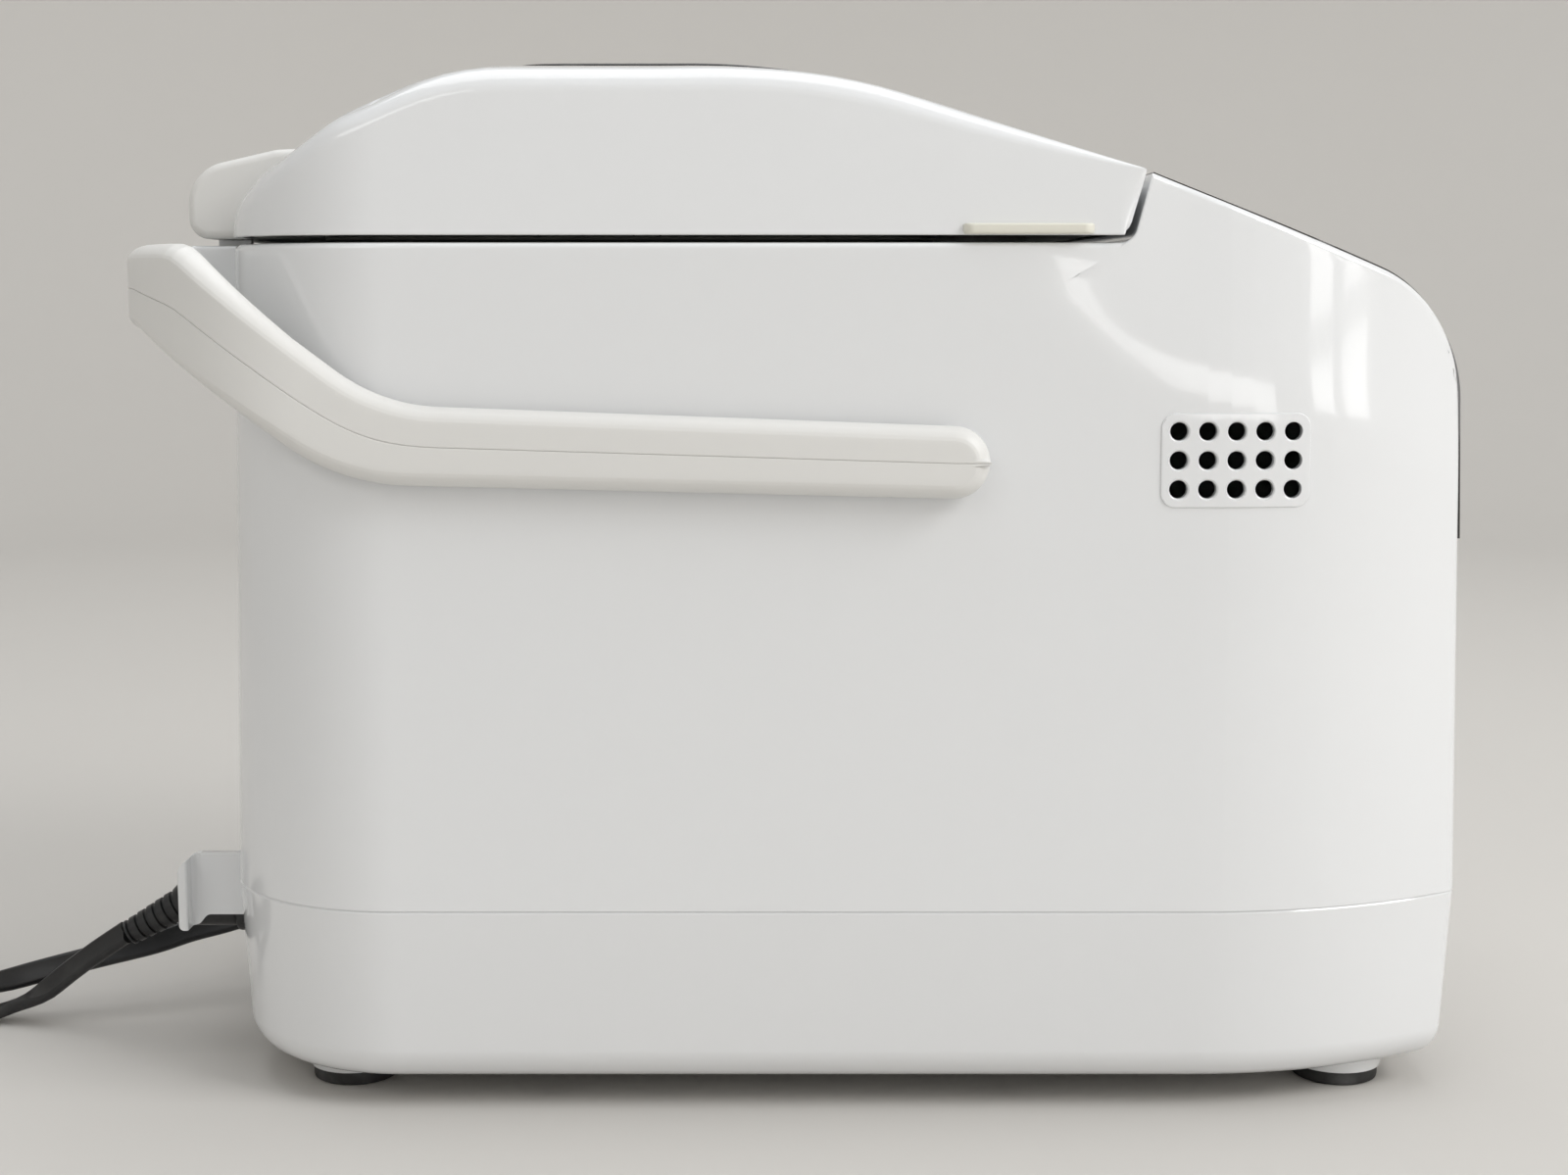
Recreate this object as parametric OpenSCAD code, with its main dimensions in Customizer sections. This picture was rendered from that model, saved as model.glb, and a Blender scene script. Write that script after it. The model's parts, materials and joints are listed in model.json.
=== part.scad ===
// Bread machine: a domed lid hinged at the back, a sloping control console at the front, a bail handle,
// a baking chamber with a lift-out pan, and a belt drive in the base. Millimetres, +Z up, the table at z = 0,
// the front at -Y. The origin is under the middle of the machine, its handle included and its cord left out.

/* [Body] */
// Width of the body at the base seam
body_w = 232; // [230:1:240]
// Depth of the body at the base seam
body_d = 360; // [358:1:372]
// How far the carry handle reaches behind the body
handle_overhang = 26; // [24:1:34]
// Height of the underside of the base
base_z = 8; // [7:0.5:10]
// Height of the seam between base and upper body
seam_z = 59.3; // [57:0.1:62]
// Height of the flat deck that the lid closes on
deck_z = 245.8; // [244:0.1:252]
// Thickness of the moulded walls
wall = 2.5; // [2.2:0.1:3]
// Lean of the outer walls, in degrees
draft = 1.2; // [0.8:0.1:1.5]
// Radius of the rear corners in plan
rear_corner_r = 54; // [46:1:58]
// How far each front corner stands inboard of the side
front_inboard = 24.5; // [22:0.5:27]
// Angle between the side and the line to the front corner
front_angle = 32; // [30:1:34]
// Radius of the long curve from the side to the front
front_side_r = 140; // [120:5:140]
// Radius of the upright front corners
front_corner_r = 7.5; // [6:0.5:9]
// Radius round the underside of the base
base_edge_r = 10; // [7:0.5:12]

/* [Console] */
// Distance from the front of the machine to the lid's front foot
console_d = 101.6; // [100:0.2:104]
// Slope of the console, in degrees
console_slope = 21.4; // [19:0.2:24]
// Height of the console's top edge above the deck
console_rise = 19.4; // [18:0.2:22]
// Radius of the bend from the slope to the front
console_nose_r = 40; // [34:1:44]
// How far the glossy control panel stands proud
panel_proud = 0.9; // [0.6:0.1:1.4]
// Margin between the panel and the body's edges
panel_margin = 3; // [2:0.5:6]
// Height of the panel's lower edge on the front
panel_foot_z = 163; // [150:1:180]
// Radius of the small buttons
button_r = 6; // [5:0.5:7]
// How far a button travels
button_travel = 0.8; // [0.4:0.1:1]
// How far a button stands above the panel
button_proud = 0.9; // [0.9:0.1:1.5]
// Width of the display
lcd_w = 58; // [50:1:64]
// Height of the display, along the slope
lcd_h = 26; // [22:1:30]

/* [Lid] */
// Gap between the deck and the lid
lid_gap = 2; // [1.8:0.1:2.4]
// Height of the lid above its lower edge
lid_h = 50.4; // [48:0.1:53]
// How far the lid stands in from the body's edge
lid_inset = 0.6; // [0.4:0.1:1.2]
// Lean of the lid's front edge, in degrees
lid_front_lean = 15.8; // [14:0.2:18]
// Slope of the lid's front, in degrees
lid_slope = 17.6; // [16:0.2:19]
// How far the smoked window stands proud of the lid
window_proud = 0.8; // [0.5:0.1:1.2]
// Width of the smoked window
window_w = 140; // [120:2:150]
// Length of the smoked window, front to back
window_l = 121; // [110:1:126]
// How far the finger tabs stand out of the lid's sides
tab_reach = 2.6; // [1.5:0.1:2.8]
// Length of each finger tab
tab_l = 36; // [30:1:42]

/* [Hinge] */
// Width of the hinge cover
hinge_w = 110; // [100:2:116]
// How far the hinge axis stands behind the body's seam
hinge_back = 3.4; // [3:0.1:4]
// Height of the hinge axis above the deck
hinge_rise = 11.7; // [11.4:0.1:12.5]
// Radius of the hinge cover round the axis
hinge_r = 9.5; // [9:0.1:9.7]
// Radius of the hinge pins
hinge_pin_r = 2.5; // [2:0.1:3]
// Spacing of the two hinge ears
hinge_ear_gap = 68; // [60:1:76]

/* [Handle] */
// Distance from the front of the machine to the handle's pivot
pivot_d = 149.4; // [146:0.2:153]
// How far the handle's pivot lies below the deck
pivot_drop = 59.8; // [57:0.2:62]
// Thickness of the handle's arms
arm_t = 7; // [6:0.5:8]
// Gap between the body's widest part beside the arms and the arms
arm_gap = 1.8; // [1.6:0.1:2.4]
// Radius of the handle's end caps
cap_r = 10; // [9:0.5:11]
// Thickness of the handle's crossbar
crossbar_t = 10; // [8:0.5:11]
// Radius of the handle's pivot pins
pivot_pin_r = 5.95; // [5:0.05:6.5]

/* [Pan and chamber] */
// Distance from the back of the body to the pan's centre
pan_back = 119; // [116:1:121]
// Inner half width of the baking chamber
chamber_half = 88; // [84:1:90]
// Height of the baking chamber's floor
chamber_floor_z = 50; // [49:0.5:51]
// Thickness of the chamber's sheet
sheet = 0.8; // [0.6:0.1:1]
// Radius of the chamber's corners
chamber_r = 24; // [18:1:30]
// Half width of the pan at its rim, across the machine
pan_hx = 52.5; // [50:0.5:54]
// Half length of the pan at its rim, front to back
pan_hy = 62.5; // [60:0.5:64]
// Height of the pan's rim
pan_rim_z = 210; // [204:1:212]
// Height of the pan's floor
pan_floor_z = 74; // [73.5:0.5:77]
// Thickness of the pan's wall
pan_t = 1.5; // [1.2:0.1:2]
// Length of the pan's bail from pivot to grip
bail_l = 60; // [59:0.5:62]
// Radius of the bail's wire
bail_r = 2; // [1.6:0.1:2.2]
// Sweep of the kneading paddle's blade
paddle_reach = 40; // [34:1:43]
// Height of the kneading paddle
paddle_h = 27; // [22:1:32]

/* [Drive] */
// Radius of the large pulley
big_pulley_r = 42; // [36:1:45]
// Radius of the motor's pulley
small_pulley_r = 9; // [8:0.5:11]
// Distance from the front of the machine to the motor's shaft
motor_d = 78; // [76:1:82]
// Width of the drive belt
belt_w = 10; // [8:0.5:11]
// Thickness of the drive belt
belt_t = 2; // [1.5:0.1:2.4]
// Radius of the drive shaft and the paddle shaft
shaft_r = 3.95; // [3.5:0.05:4.5]
// Running clearance round a shaft
running = 0.05; // [0.02:0.01:0.09]
// Height of the chassis plate's underside
chassis_z = 36; // [35:0.5:37]
// Thickness of the chassis plate
chassis_t = 1.5; // [1.2:0.1:2]
// Side of the motor's square lamination stack
stator_w = 62; // [56:1:68]

/* [Feet, vents and hooks] */
// Radius of the rubber feet
foot_r = 12.5; // [10:0.5:14]
// Thickness of the rubber feet
foot_t = 4; // [3:0.5:5]
// Radius of each vent hole
vent_r = 2.5; // [1.5:0.1:2.8]
// Spacing of the vent holes
vent_pitch = 8; // [7.5:0.1:9]
// Number of vent holes along a row
vent_cols = 5; // [3:1:5]
// Number of rows of vent holes
vent_rows = 3; // [2:1:4]
// Thickness of the cord hooks
hook_t = 3; // [2.5:0.1:3.5]
// How far the cord hooks reach behind the body
hook_reach = 19; // [16:0.5:22]
// Distance from the middle to each cord hook
hook_x = 58; // [56:1:60]

/* [Cord] */
// Width of the flat twin cord
cord_w = 7.6; // [6:0.2:8]
// Height of the flat twin cord
cord_h = 3.8; // [3:0.1:4]

/* [Hidden] */
$fn = 48;
eps = 0.01;

// Places along the depth
overall_d = body_d + handle_overhang;
front_y = -overall_d / 2;
back_y = front_y + body_d;
handle_back_y = overall_d / 2;
pan_y = back_y - pan_back;
motor_y = front_y + motor_d;
pivot_y = front_y + pivot_d;
pivot_z = deck_z - pivot_drop;
hinge_y = back_y + hinge_back;
hinge_z = deck_z + hinge_rise;
console_z = deck_z + console_rise;
lid_z = deck_z + lid_gap;
lid_top_z = lid_z + lid_h;
lid_foot_y = front_y + console_d;
half_w = body_w / 2;

// Outlines are lists of [across, up, corner radius], anticlockwise
function unit(v) = v / norm(v);
function flat(p) = [p[0], p[1]];
function turned(v, a) = [v[0] * cos(a) - v[1] * sin(a), v[0] * sin(a) + v[1] * cos(a)];
function side_of(v, i) = v[(i + len(v)) % len(v)];

// One corner as an arc between its neighbours
function arc_step(r) = r > 25 ? 7.5 : 18;
function corner(a, b, c) =
    b[2] <= 0 ? [flat(b)] :
    let (u = unit(flat(a) - flat(b)), w = unit(flat(c) - flat(b)), half = acos(u * w) / 2,
         centre = flat(b) + unit(u + w) * b[2] / sin(half),
         start = flat(b) + u * b[2] / tan(half) - centre,
         turn = (180 - 2 * half) * (cross(u, w) < 0 ? 1 : -1),
         steps = ceil(abs(turn) / arc_step(b[2])))
    [for (k = [0:steps]) centre + turned(start, turn * k / steps)];
function rounded(v) =
    [for (i = [0:len(v) - 1]) each corner(side_of(v, i - 1), v[i], side_of(v, i + 1))];

// An outline moved outwards by d, with its corner radii kept concentric
function grown(v, d) =
    [for (i = [0:len(v) - 1])
        let (a = side_of(v, i - 1), b = v[i], c = side_of(v, i + 1),
             p = unit(flat(b) - flat(a)), q = unit(flat(c) - flat(b)),
             np = [p[1], -p[0]], nq = [q[1], -q[0]], m = (np + nq) * d / (1 + np * nq))
        [b[0] + m[0], b[1] + m[1], b[2] == 0 ? 0 : max(0.3, b[2] + (cross(p, q) > 0 ? d : -d))]];

function rect(hx, hy, r, cx = 0, cy = 0) =
    [[cx + hx, cy - hy, r], [cx + hx, cy + hy, r], [cx - hx, cy + hy, r], [cx - hx, cy - hy, r]];

// Prisms along each axis from such outlines
module along_z(v, z0, z1) { translate([0, 0, z0]) linear_extrude(z1 - z0) polygon(rounded(v)); }
module along_x(v, x0, x1) {
    translate([x0, 0, 0]) rotate([90, 0, 90]) linear_extrude(x1 - x0) polygon(rounded(v));
}
module along_y(v, y0, y1) {
    translate([0, y1, 0]) rotate([90, 0, 0]) linear_extrude(y1 - y0) polygon(rounded(v));
}
module rod_x(y, z, r, x0, x1) { translate([x0, y, z]) rotate([0, 90, 0]) cylinder(r = r, h = x1 - x0); }
module rod_y(x, z, r, y0, y1) { translate([x, y1, z]) rotate([90, 0, 0]) cylinder(r = r, h = y1 - y0); }
module rod_z(x, y, r, z0, z1) { translate([x, y, z0]) cylinder(r = r, h = z1 - z0); }
module box(x0, x1, y0, y1, z0, z1) { translate([x0, y0, z0]) cube([x1 - x0, y1 - y0, z1 - z0]); }
module both_sides() { children(); mirror([1, 0, 0]) children(); }

// The body's plan, side and front outlines
function lean(z) = (z - seam_z) * tan(draft);
body_plan =
    let (k = front_inboard / tan(front_angle), b = half_w - front_inboard)
    [[b, front_y, front_corner_r], [half_w, front_y + k, front_side_r], [half_w, back_y, rear_corner_r],
     [-half_w, back_y, rear_corner_r], [-half_w, front_y + k, front_side_r], [-b, front_y, front_corner_r]];

// The console's top edge runs parallel to the lid's front edge, one gap in front of it
function lid_front_y(z) = lid_foot_y - (z - lid_z) * tan(lid_front_lean);
function step_y(z) = lid_front_y(z) - lid_gap / cos(lid_front_lean);
nose_z = let (m = tan(console_slope), t = tan(draft))
    (console_z - m * (step_y(console_z) - front_y) - m * t * seam_z) / (1 - m * t);
deck_edge_r = 1.5;
function body_side(z0) =
    [[front_y + lean(z0), z0, 0], [back_y - lean(z0), z0, 0], [back_y - lean(deck_z), deck_z, deck_edge_r],
     [step_y(deck_z), deck_z, 0], [step_y(console_z), console_z, 1],
     [front_y + lean(nose_z), nose_z, console_nose_r]];
function body_front(z0) =
    let (z1 = console_z + wall * 4)
    [[half_w - lean(z0), z0, 0], [half_w - lean(z1), z1, 0],
     [-half_w + lean(z1), z1, 0], [-half_w + lean(z0), z0, 0]];

module body_form(d, z0) {
    intersection() {
        along_z(grown(body_plan, d), z0 - wall, console_z + wall);
        along_x(grown(body_side(z0), d), -half_w - wall, half_w + wall);
        along_y(grown(body_front(z0), d), front_y - wall, back_y + wall);
    }
}

// Places on the console's slope: y runs up the slope from its top edge, z stands out of it
module on_slope(x = 0, down = 0) {
    translate([0, step_y(console_z), console_z])
        rotate([console_slope, 0, 0]) translate([x, -down, 0]) children();
}
function button_spot(name) =
    name == "menu" ? [-64, 15] : name == "crust" ? [-64, 37] :
    name == "timer_up" ? [64, 15] : name == "timer_down" ? [64, 37] :
    name == "stop" ? [-26, 55] : [26, 55];
button_names = ["menu", "crust", "timer_up", "timer_down", "stop", "start"];
button_clear = 0.3;
button_flange = 1.6;
button_flange_z = -wall - 0.6;
button_foot_z = button_flange_z - 1;
lcd_down = 22;
lcd_bezel = 1;
pcb_drop = 14;
pcb_t = 1.6;
pcb_w = 170;
pcb_down = [8, 62];
pcb_posts = [for (x = [-78, 78]) for (d = [pcb_down[0] + 4, pcb_down[1] - 4]) [x, d]];
pcb_post_r = 3;

// Deck opening, and the screw columns that join base and upper body
rim_skirt_t = 1.5;
deck_clear = 0.7;
deck_half = chamber_half + sheet + rim_skirt_t + deck_clear;
column_r = 4.5;
column_x = half_w - 18;
column_rib_t = 2;
column_ys = [pan_y - 108, pan_y + 22];
column_top_z = seam_z + 42;
screw_r = 2;
screw_head_r = 4;
screw_head_h = 3;
screw_sink = 5;
pan_head_h = 2.5;

// Vents: a grid of holes in a faint raised patch near the front of each side
vent_centre_y = front_y + 71;
vent_centre_z = pivot_z + 0.2;
vent_margin = 2.5;
vent_patch_r = 4;
vent_proud = 0.4;
module vent_spots() {
    for (i = [0:vent_cols - 1]) for (j = [0:vent_rows - 1])
        translate([0, vent_centre_y + (i - (vent_cols - 1) / 2) * vent_pitch,
                   vent_centre_z + (j - (vent_rows - 1) / 2) * vent_pitch]) children();
}
vent_patch = rect((vent_cols - 1) * vent_pitch / 2 + vent_r + vent_margin,
                  (vent_rows - 1) * vent_pitch / 2 + vent_r + vent_margin, vent_patch_r,
                  vent_centre_y, vent_centre_z);

// Handle pivots stand on flat bosses on the body's sides
arm_x = half_w - lean(pivot_z - cap_r) + arm_gap;
boss_r = cap_r - 1;
boss_face_x = arm_x - 0.6;
boss_depth = 9;

// Hinge pedestal behind the deck
pedestal_back_y = hinge_y + hinge_r;
pedestal =
    let (in_y = back_y - lean(deck_z) - wall - 3)
    [[in_y, deck_z - 56, 0], [back_y - lean(deck_z - 50), deck_z - 52, 0], [pedestal_back_y, deck_z - 36, 8],
     [pedestal_back_y, deck_z, 1.5], [in_y, deck_z, 0]];
ear_t = 3;
ear_half = 5;
ear_clear = 0.4;
ear_xs = [-hinge_ear_gap / 2, hinge_ear_gap / 2];

// The base's rear tongue, which carries the cord hooks, rises above the seam
tongue_h = 10;
tongue_half = hook_x + 10;
tongue_clear = 0.2;

module upper_body() {
    color([0.93, 0.93, 0.92]) difference() {
        union() {
            difference() {
                union() {
                    body_form(0, seam_z);
                    along_x(pedestal, -hinge_w / 2, hinge_w / 2);
                    both_sides() intersection() {
                        body_form(vent_proud, seam_z);
                        along_x(vent_patch, half_w / 2, half_w + wall);
                    }
                    both_sides() rod_x(pivot_y, pivot_z, boss_r, boss_face_x - boss_depth, boss_face_x);
                }
                body_form(-wall, seam_z - 4 * wall);
                along_x(grown(pedestal, -wall), -hinge_w / 2 + wall, hinge_w / 2 - wall);
            }
            both_sides() rod_x(pivot_y, pivot_z, boss_r, boss_face_x - boss_depth, boss_face_x);
            for (y = column_ys) both_sides() {
                rod_z(column_x, y, column_r, seam_z + 2, column_top_z);
                box(column_x, half_w - wall - lean(column_top_z) + 0.5,
                    y - column_rib_t / 2, y + column_rib_t / 2, seam_z + 6, column_top_z);
            }
            for (p = pcb_posts) on_slope(p[0], p[1])
                translate([0, 0, -pcb_drop]) cylinder(r = pcb_post_r, h = pcb_drop - wall + 0.5);
        }
        along_z(rect(deck_half, deck_half, chamber_r + 3, 0, pan_y), deck_z - 2 * wall, deck_z + wall);
        both_sides() vent_spots() rod_x(0, 0, vent_r, half_w / 2, half_w + wall);
        both_sides() rod_x(pivot_y, pivot_z, pivot_pin_r, half_w / 2, half_w + wall);
        for (y = column_ys) both_sides() rod_z(column_x, y, screw_r, 0, column_top_z - 6);
        for (name = button_names) on_slope(button_spot(name)[0], button_spot(name)[1])
            translate([0, 0, -wall * 1.5]) cylinder(r = button_r + button_clear, h = wall * 3);
        on_slope(0, lcd_down)
            translate([-lcd_w / 2 + lcd_bezel, -lcd_h / 2 + lcd_bezel, -wall * 1.5])
                cube([lcd_w - 2 * lcd_bezel, lcd_h - 2 * lcd_bezel, wall * 3]);
        for (x = ear_xs) box(x - ear_t / 2 - ear_clear, x + ear_t / 2 + ear_clear,
                             hinge_y - ear_half - ear_clear, hinge_y + ear_half + ear_clear,
                             deck_z - 2 * wall, deck_z + wall);
        box(-tongue_half - tongue_clear, tongue_half + tongue_clear, back_y - rear_corner_r, back_y + 1,
            seam_z - 1, seam_z + tongue_h + tongue_clear);
    }
}

// ---- Base ----
base_lean = 3;
base_side = [[front_y + base_lean, base_z, base_edge_r], [back_y - base_lean, base_z, base_edge_r],
             [back_y, seam_z, 0], [front_y, seam_z, 0]];
base_front = [[half_w - base_lean, base_z, base_edge_r], [half_w, seam_z, 0],
              [-half_w, seam_z, 0], [-half_w + base_lean, base_z, base_edge_r]];
foot_xs = half_w - 36.5;
foot_ys = [front_y + 31, back_y - 36];
foot_boss_r = foot_r + 1;
post_r = 5;
post_spots = [[88, pan_y + 62], [88, pan_y - 48], [76, motor_y - 38]];
lip_t = 1.5;
lip_h = 3;
lip_clear = 0.15;
relief_z = 27;
relief_r = 6.5;
slot_count = 8;
slot_pitch = 9;
plug_x = -41;
plug_z = 43;
prong_gap = 12.7;
prong_w = 6.3;
prong_t = 1.5;
prong_clear = 0.1;
hook_top_z = seam_z + 3.5;
hook_foot_z = seam_z - 15.7;
hook_flare = 11;

module base_form(d, top) {
    intersection() {
        along_z(grown(body_plan, d), 0, seam_z + top);
        along_x(grown([base_side[0], base_side[1], [back_y, seam_z + top, 0], [front_y, seam_z + top, 0]], d),
                -half_w, half_w);
        along_y(grown([base_front[0], [half_w, seam_z + top, 0], [-half_w, seam_z + top, 0],
                       base_front[3]], d),
                front_y, back_y);
    }
}

// The plug's two prongs, or with a clearance the slots that they stand in
module prongs(clear, y0, y1) {
    for (s = [-1, 1]) translate([plug_x + s * prong_gap / 2, 0, plug_z])
        box(-prong_t / 2 - clear, prong_t / 2 + clear, y0, y1, -prong_w / 2 - clear, prong_w / 2 + clear);
}

// One J-shaped hook, its open side facing outwards
module cord_hook() {
    x = hook_x;
    y = back_y + hook_reach;
    root_y = back_y - 4;
    outline = [[x, root_y, 0], [x + hook_t, root_y, 0], [x + hook_t, y - hook_t, 2.5],
               [x + hook_flare, y - hook_t, 0.8], [x + hook_flare, y, 1.2], [x, y, 5.5]];
    side = [[root_y, hook_foot_z, 0], [y - 7, hook_foot_z, 2], [y - 5, hook_foot_z - 3, 2],
            [y + 1, hook_foot_z - 3, 0], [y + 1, hook_top_z, 5], [root_y, hook_top_z, 0]];
    intersection() {
        along_z(outline, hook_foot_z - 5, hook_top_z + 1);
        along_x(side, x - 1, x + hook_flare + 1);
    }
}

module base_case() {
    color([0.92, 0.92, 0.91]) difference() {
        union() {
            difference() {
                intersection() {
                    base_form(0, 0);
                    translate([0, 0, base_z]) linear_extrude(seam_z) square(2 * overall_d, center = true);
                }
                base_form(-wall, 4 * wall);
            }
            difference() {
                along_z(grown(body_plan, -wall - lip_clear), seam_z - 2 * lip_h, seam_z + lip_h);
                along_z(grown(body_plan, -wall - lip_clear - lip_t), seam_z - 3 * lip_h, seam_z + 2 * lip_h);
                box(-half_w - 1, half_w + 1, back_y - wall - 0.5, back_y + 1, seam_z, seam_z + 2 * lip_h);
                box(-tongue_half - 1, tongue_half + 1, back_y - rear_corner_r, back_y,
                    seam_z, seam_z + 2 * lip_h);
            }
            intersection() {
                difference() {
                    along_z(body_plan, 0, seam_z + tongue_h);
                    along_z(grown(body_plan, -wall - 0.5), -1, seam_z + tongue_h + 1);
                }
                box(-tongue_half, tongue_half, back_y - wall - 3, back_y, seam_z - 4, seam_z + tongue_h);
                along_x([[0, 0, 0], [back_y, 0, 0], [back_y, seam_z, 0],
                         [back_y - lean(seam_z + tongue_h), seam_z + tongue_h, 0], [0, seam_z + tongue_h, 0]],
                        -half_w, half_w);
            }
            both_sides() cord_hook();
            for (y = foot_ys) both_sides() rod_z(foot_xs, y, foot_boss_r, foot_t, base_z + wall);
            for (p = post_spots) both_sides() rod_z(p[0], p[1], post_r, base_z + 1, chassis_z);
            for (y = column_ys) both_sides() rod_z(column_x, y, column_r + 0.5, base_z + 1, seam_z + 2);
        }
        for (y = column_ys) both_sides() {
            rod_z(column_x, y, screw_r + 0.2, 0, seam_z + 5);
            rod_z(column_x, y, screw_head_r + 0.2, 0, base_z + 8);
        }
        for (p = post_spots) both_sides() rod_z(p[0], p[1], screw_r, base_z + wall + 2, chassis_z + 1);
        rod_y(0, relief_z, relief_r, back_y - 4 * wall, back_y + wall);
        for (k = [0:slot_count - 1]) translate([(k - (slot_count - 1) / 2) * slot_pitch, 0, 0])
            along_z(rect(1.5, 20, 1.4, 0, motor_y), 0, base_z + 2 * wall);
        prongs(prong_clear, back_y - 4 * wall, back_y + wall);
    }
}

// The chassis plate keeps this far from the base's outline
plate_margin = 16;
plate_plan = rect(half_w - plate_margin, body_d / 2 - plate_margin, rear_corner_r - plate_margin,
                  0, (front_y + back_y) / 2);

module rubber_feet() {
    color([0.08, 0.08, 0.08]) for (y = foot_ys) both_sides() difference() {
        rod_z(foot_xs, y, foot_r, 0, foot_t);
        rod_z(foot_xs, y, foot_r / 3, -1, foot_t / 2);
    }
}

// Steel plate with four folded stands under the baking chamber
module chassis_plate() {
    top = chassis_z + chassis_t;
    color([0.65, 0.67, 0.7]) difference() {
        union() {
            along_z(plate_plan, chassis_z, top);
            for (s = [-1, 1]) both_sides()
                box(stand_x - 7, stand_x + 7, pan_y + s * stand_x - 6, pan_y + s * stand_x + 6,
                    chassis_z, chamber_floor_z - sheet);
        }
        rod_z(0, pan_y, housing_r + 0.2, 0, top + 1);
        rod_z(0, motor_y, small_pulley_r + 5, 0, top + 1);
        for (p = post_spots) both_sides() rod_z(p[0], p[1], screw_r + 0.2, 0, top + 1);
        for (y = column_ys) both_sides() rod_z(column_x, y, column_r + 1.5, 0, top + 1);
        for (s = [-1, 1]) along_z(rect(9, 24, 5, s * 56, pan_y - 2), 0, top + 1);
    }
}

// Screws through the chassis plate, and long ones from below into the upper body
module case_screws() {
    top = chassis_z + chassis_t;
    color([0.75, 0.75, 0.75]) {
        for (p = post_spots) both_sides() {
            rod_z(p[0], p[1], screw_head_r, top, top + pan_head_h);
            rod_z(p[0], p[1], screw_r, base_z + wall + 4, top + eps);
        }
        for (y = column_ys) both_sides() {
            rod_z(column_x, y, screw_head_r, base_z + screw_sink, base_z + screw_sink + screw_head_h);
            rod_z(column_x, y, screw_r, base_z + screw_sink + screw_head_h - eps,
                  column_top_z - screw_sink - screw_head_h);
        }
    }
}

// ---- Lid ----
lid_plan = grown(body_plan, -lean(deck_z) - lid_inset);
lid_back_y = back_y - lean(deck_z) - lid_inset - 2.6;
lid_side =
    let (tip_z = lid_z + 19.4, top_y = lid_front_y(tip_z) + (lid_top_z - tip_z) / tan(lid_slope))
    [[lid_foot_y, lid_z, 1.5], [lid_back_y, lid_z, 1], [lid_back_y - 3.4, lid_z + 16.7, 35],
     [lid_back_y - 32.9, lid_z + 39.2, 80], [lid_back_y - 61.9, lid_top_z, 100],
     [top_y, lid_top_z, 200], [lid_front_y(tip_z), tip_z, 2]];
lid_crown = 1.6;
lid_side_in = 5.6;
lid_top_r = 8;
lid_side_x = half_w - lean(deck_z) - lid_inset;
lid_front = [[lid_side_x, lid_z, 1], [lid_side_x - lid_side_in, lid_top_z - lid_crown, lid_top_r],
             [0, lid_top_z, 600], [-lid_side_x + lid_side_in, lid_top_z - lid_crown, lid_top_r],
             [-lid_side_x, lid_z, 1]];

// Open at the bottom where under is above 0
module lid_form(d, under = 0) {
    low = lid_z - under;
    function lowered(v) = [for (p = v) p[1] < lid_z + 0.1 ? [p[0], p[1] - under, under > 0 ? 0 : p[2]] : p];
    intersection() {
        along_z(grown(lid_plan, d), low - wall, lid_top_z + wall);
        along_x(grown(lowered(lid_side), d), -half_w, half_w);
        along_y(grown(lowered(lid_front), d), front_y, back_y);
    }
}
window_y = pan_y - 26.6;
window_r = 22;
window_seat = 1.2;
window_clear = 0.2;
inner_half = chamber_half - 3.5;
inner_r = chamber_r - 3.5;
inner_drop = 7;
frame_z = lid_z + 1;
frame_t = 2.2;
flange_t = 0.8;
flange_half = chamber_half + 2;
glass_hx = 42;
glass_hy = 34;
tab_y = front_y + 129;
tab_h = 3;

module lid_tab(clear) {
    both_sides() along_z(rect((lid_side_x + tab_reach - inner_half) / 2 + clear - 3, tab_l / 2 + clear, 3,
                              (lid_side_x + tab_reach + inner_half) / 2 + 3, tab_y),
                         lid_z + 0.2 - clear - (clear > 0 ? 1 : 0), lid_z + 0.2 + tab_h + clear);
}

module lid_shell() {
    color([0.94, 0.94, 0.93]) difference() {
        lid_form(0);
        lid_form(-wall, 4 * wall);
        difference() {
            along_z(rect(window_w / 2 + window_clear, window_l / 2 + window_clear, window_r, 0, window_y),
                    lid_z, lid_top_z + wall);
            lid_form(-window_seat, 4 * wall);
        }
        along_z(rect(glass_hx, glass_hy, 8, 0, window_y), lid_z, lid_top_z + wall);
        lid_tab(0.2);
    }
}

module lid_window() {
    color([0.13, 0.12, 0.12]) difference() {
        intersection() {
            lid_form(window_proud);
            along_z(rect(window_w / 2, window_l / 2, window_r, 0, window_y), lid_z, lid_top_z + 2 * wall);
        }
        lid_form(-window_seat, 4 * wall);
    }
}

module lid_frame() {
    color([0.93, 0.92, 0.86]) difference() {
        union() {
            intersection() {
                lid_form(-wall, 4 * wall);
                along_z(rect(half_w, overall_d / 2, 0), frame_z, frame_z + frame_t);
            }
            lid_tab(0);
        }
        along_z(rect(inner_half, inner_half, inner_r, 0, pan_y), 0, lid_top_z);
    }
}

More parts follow.
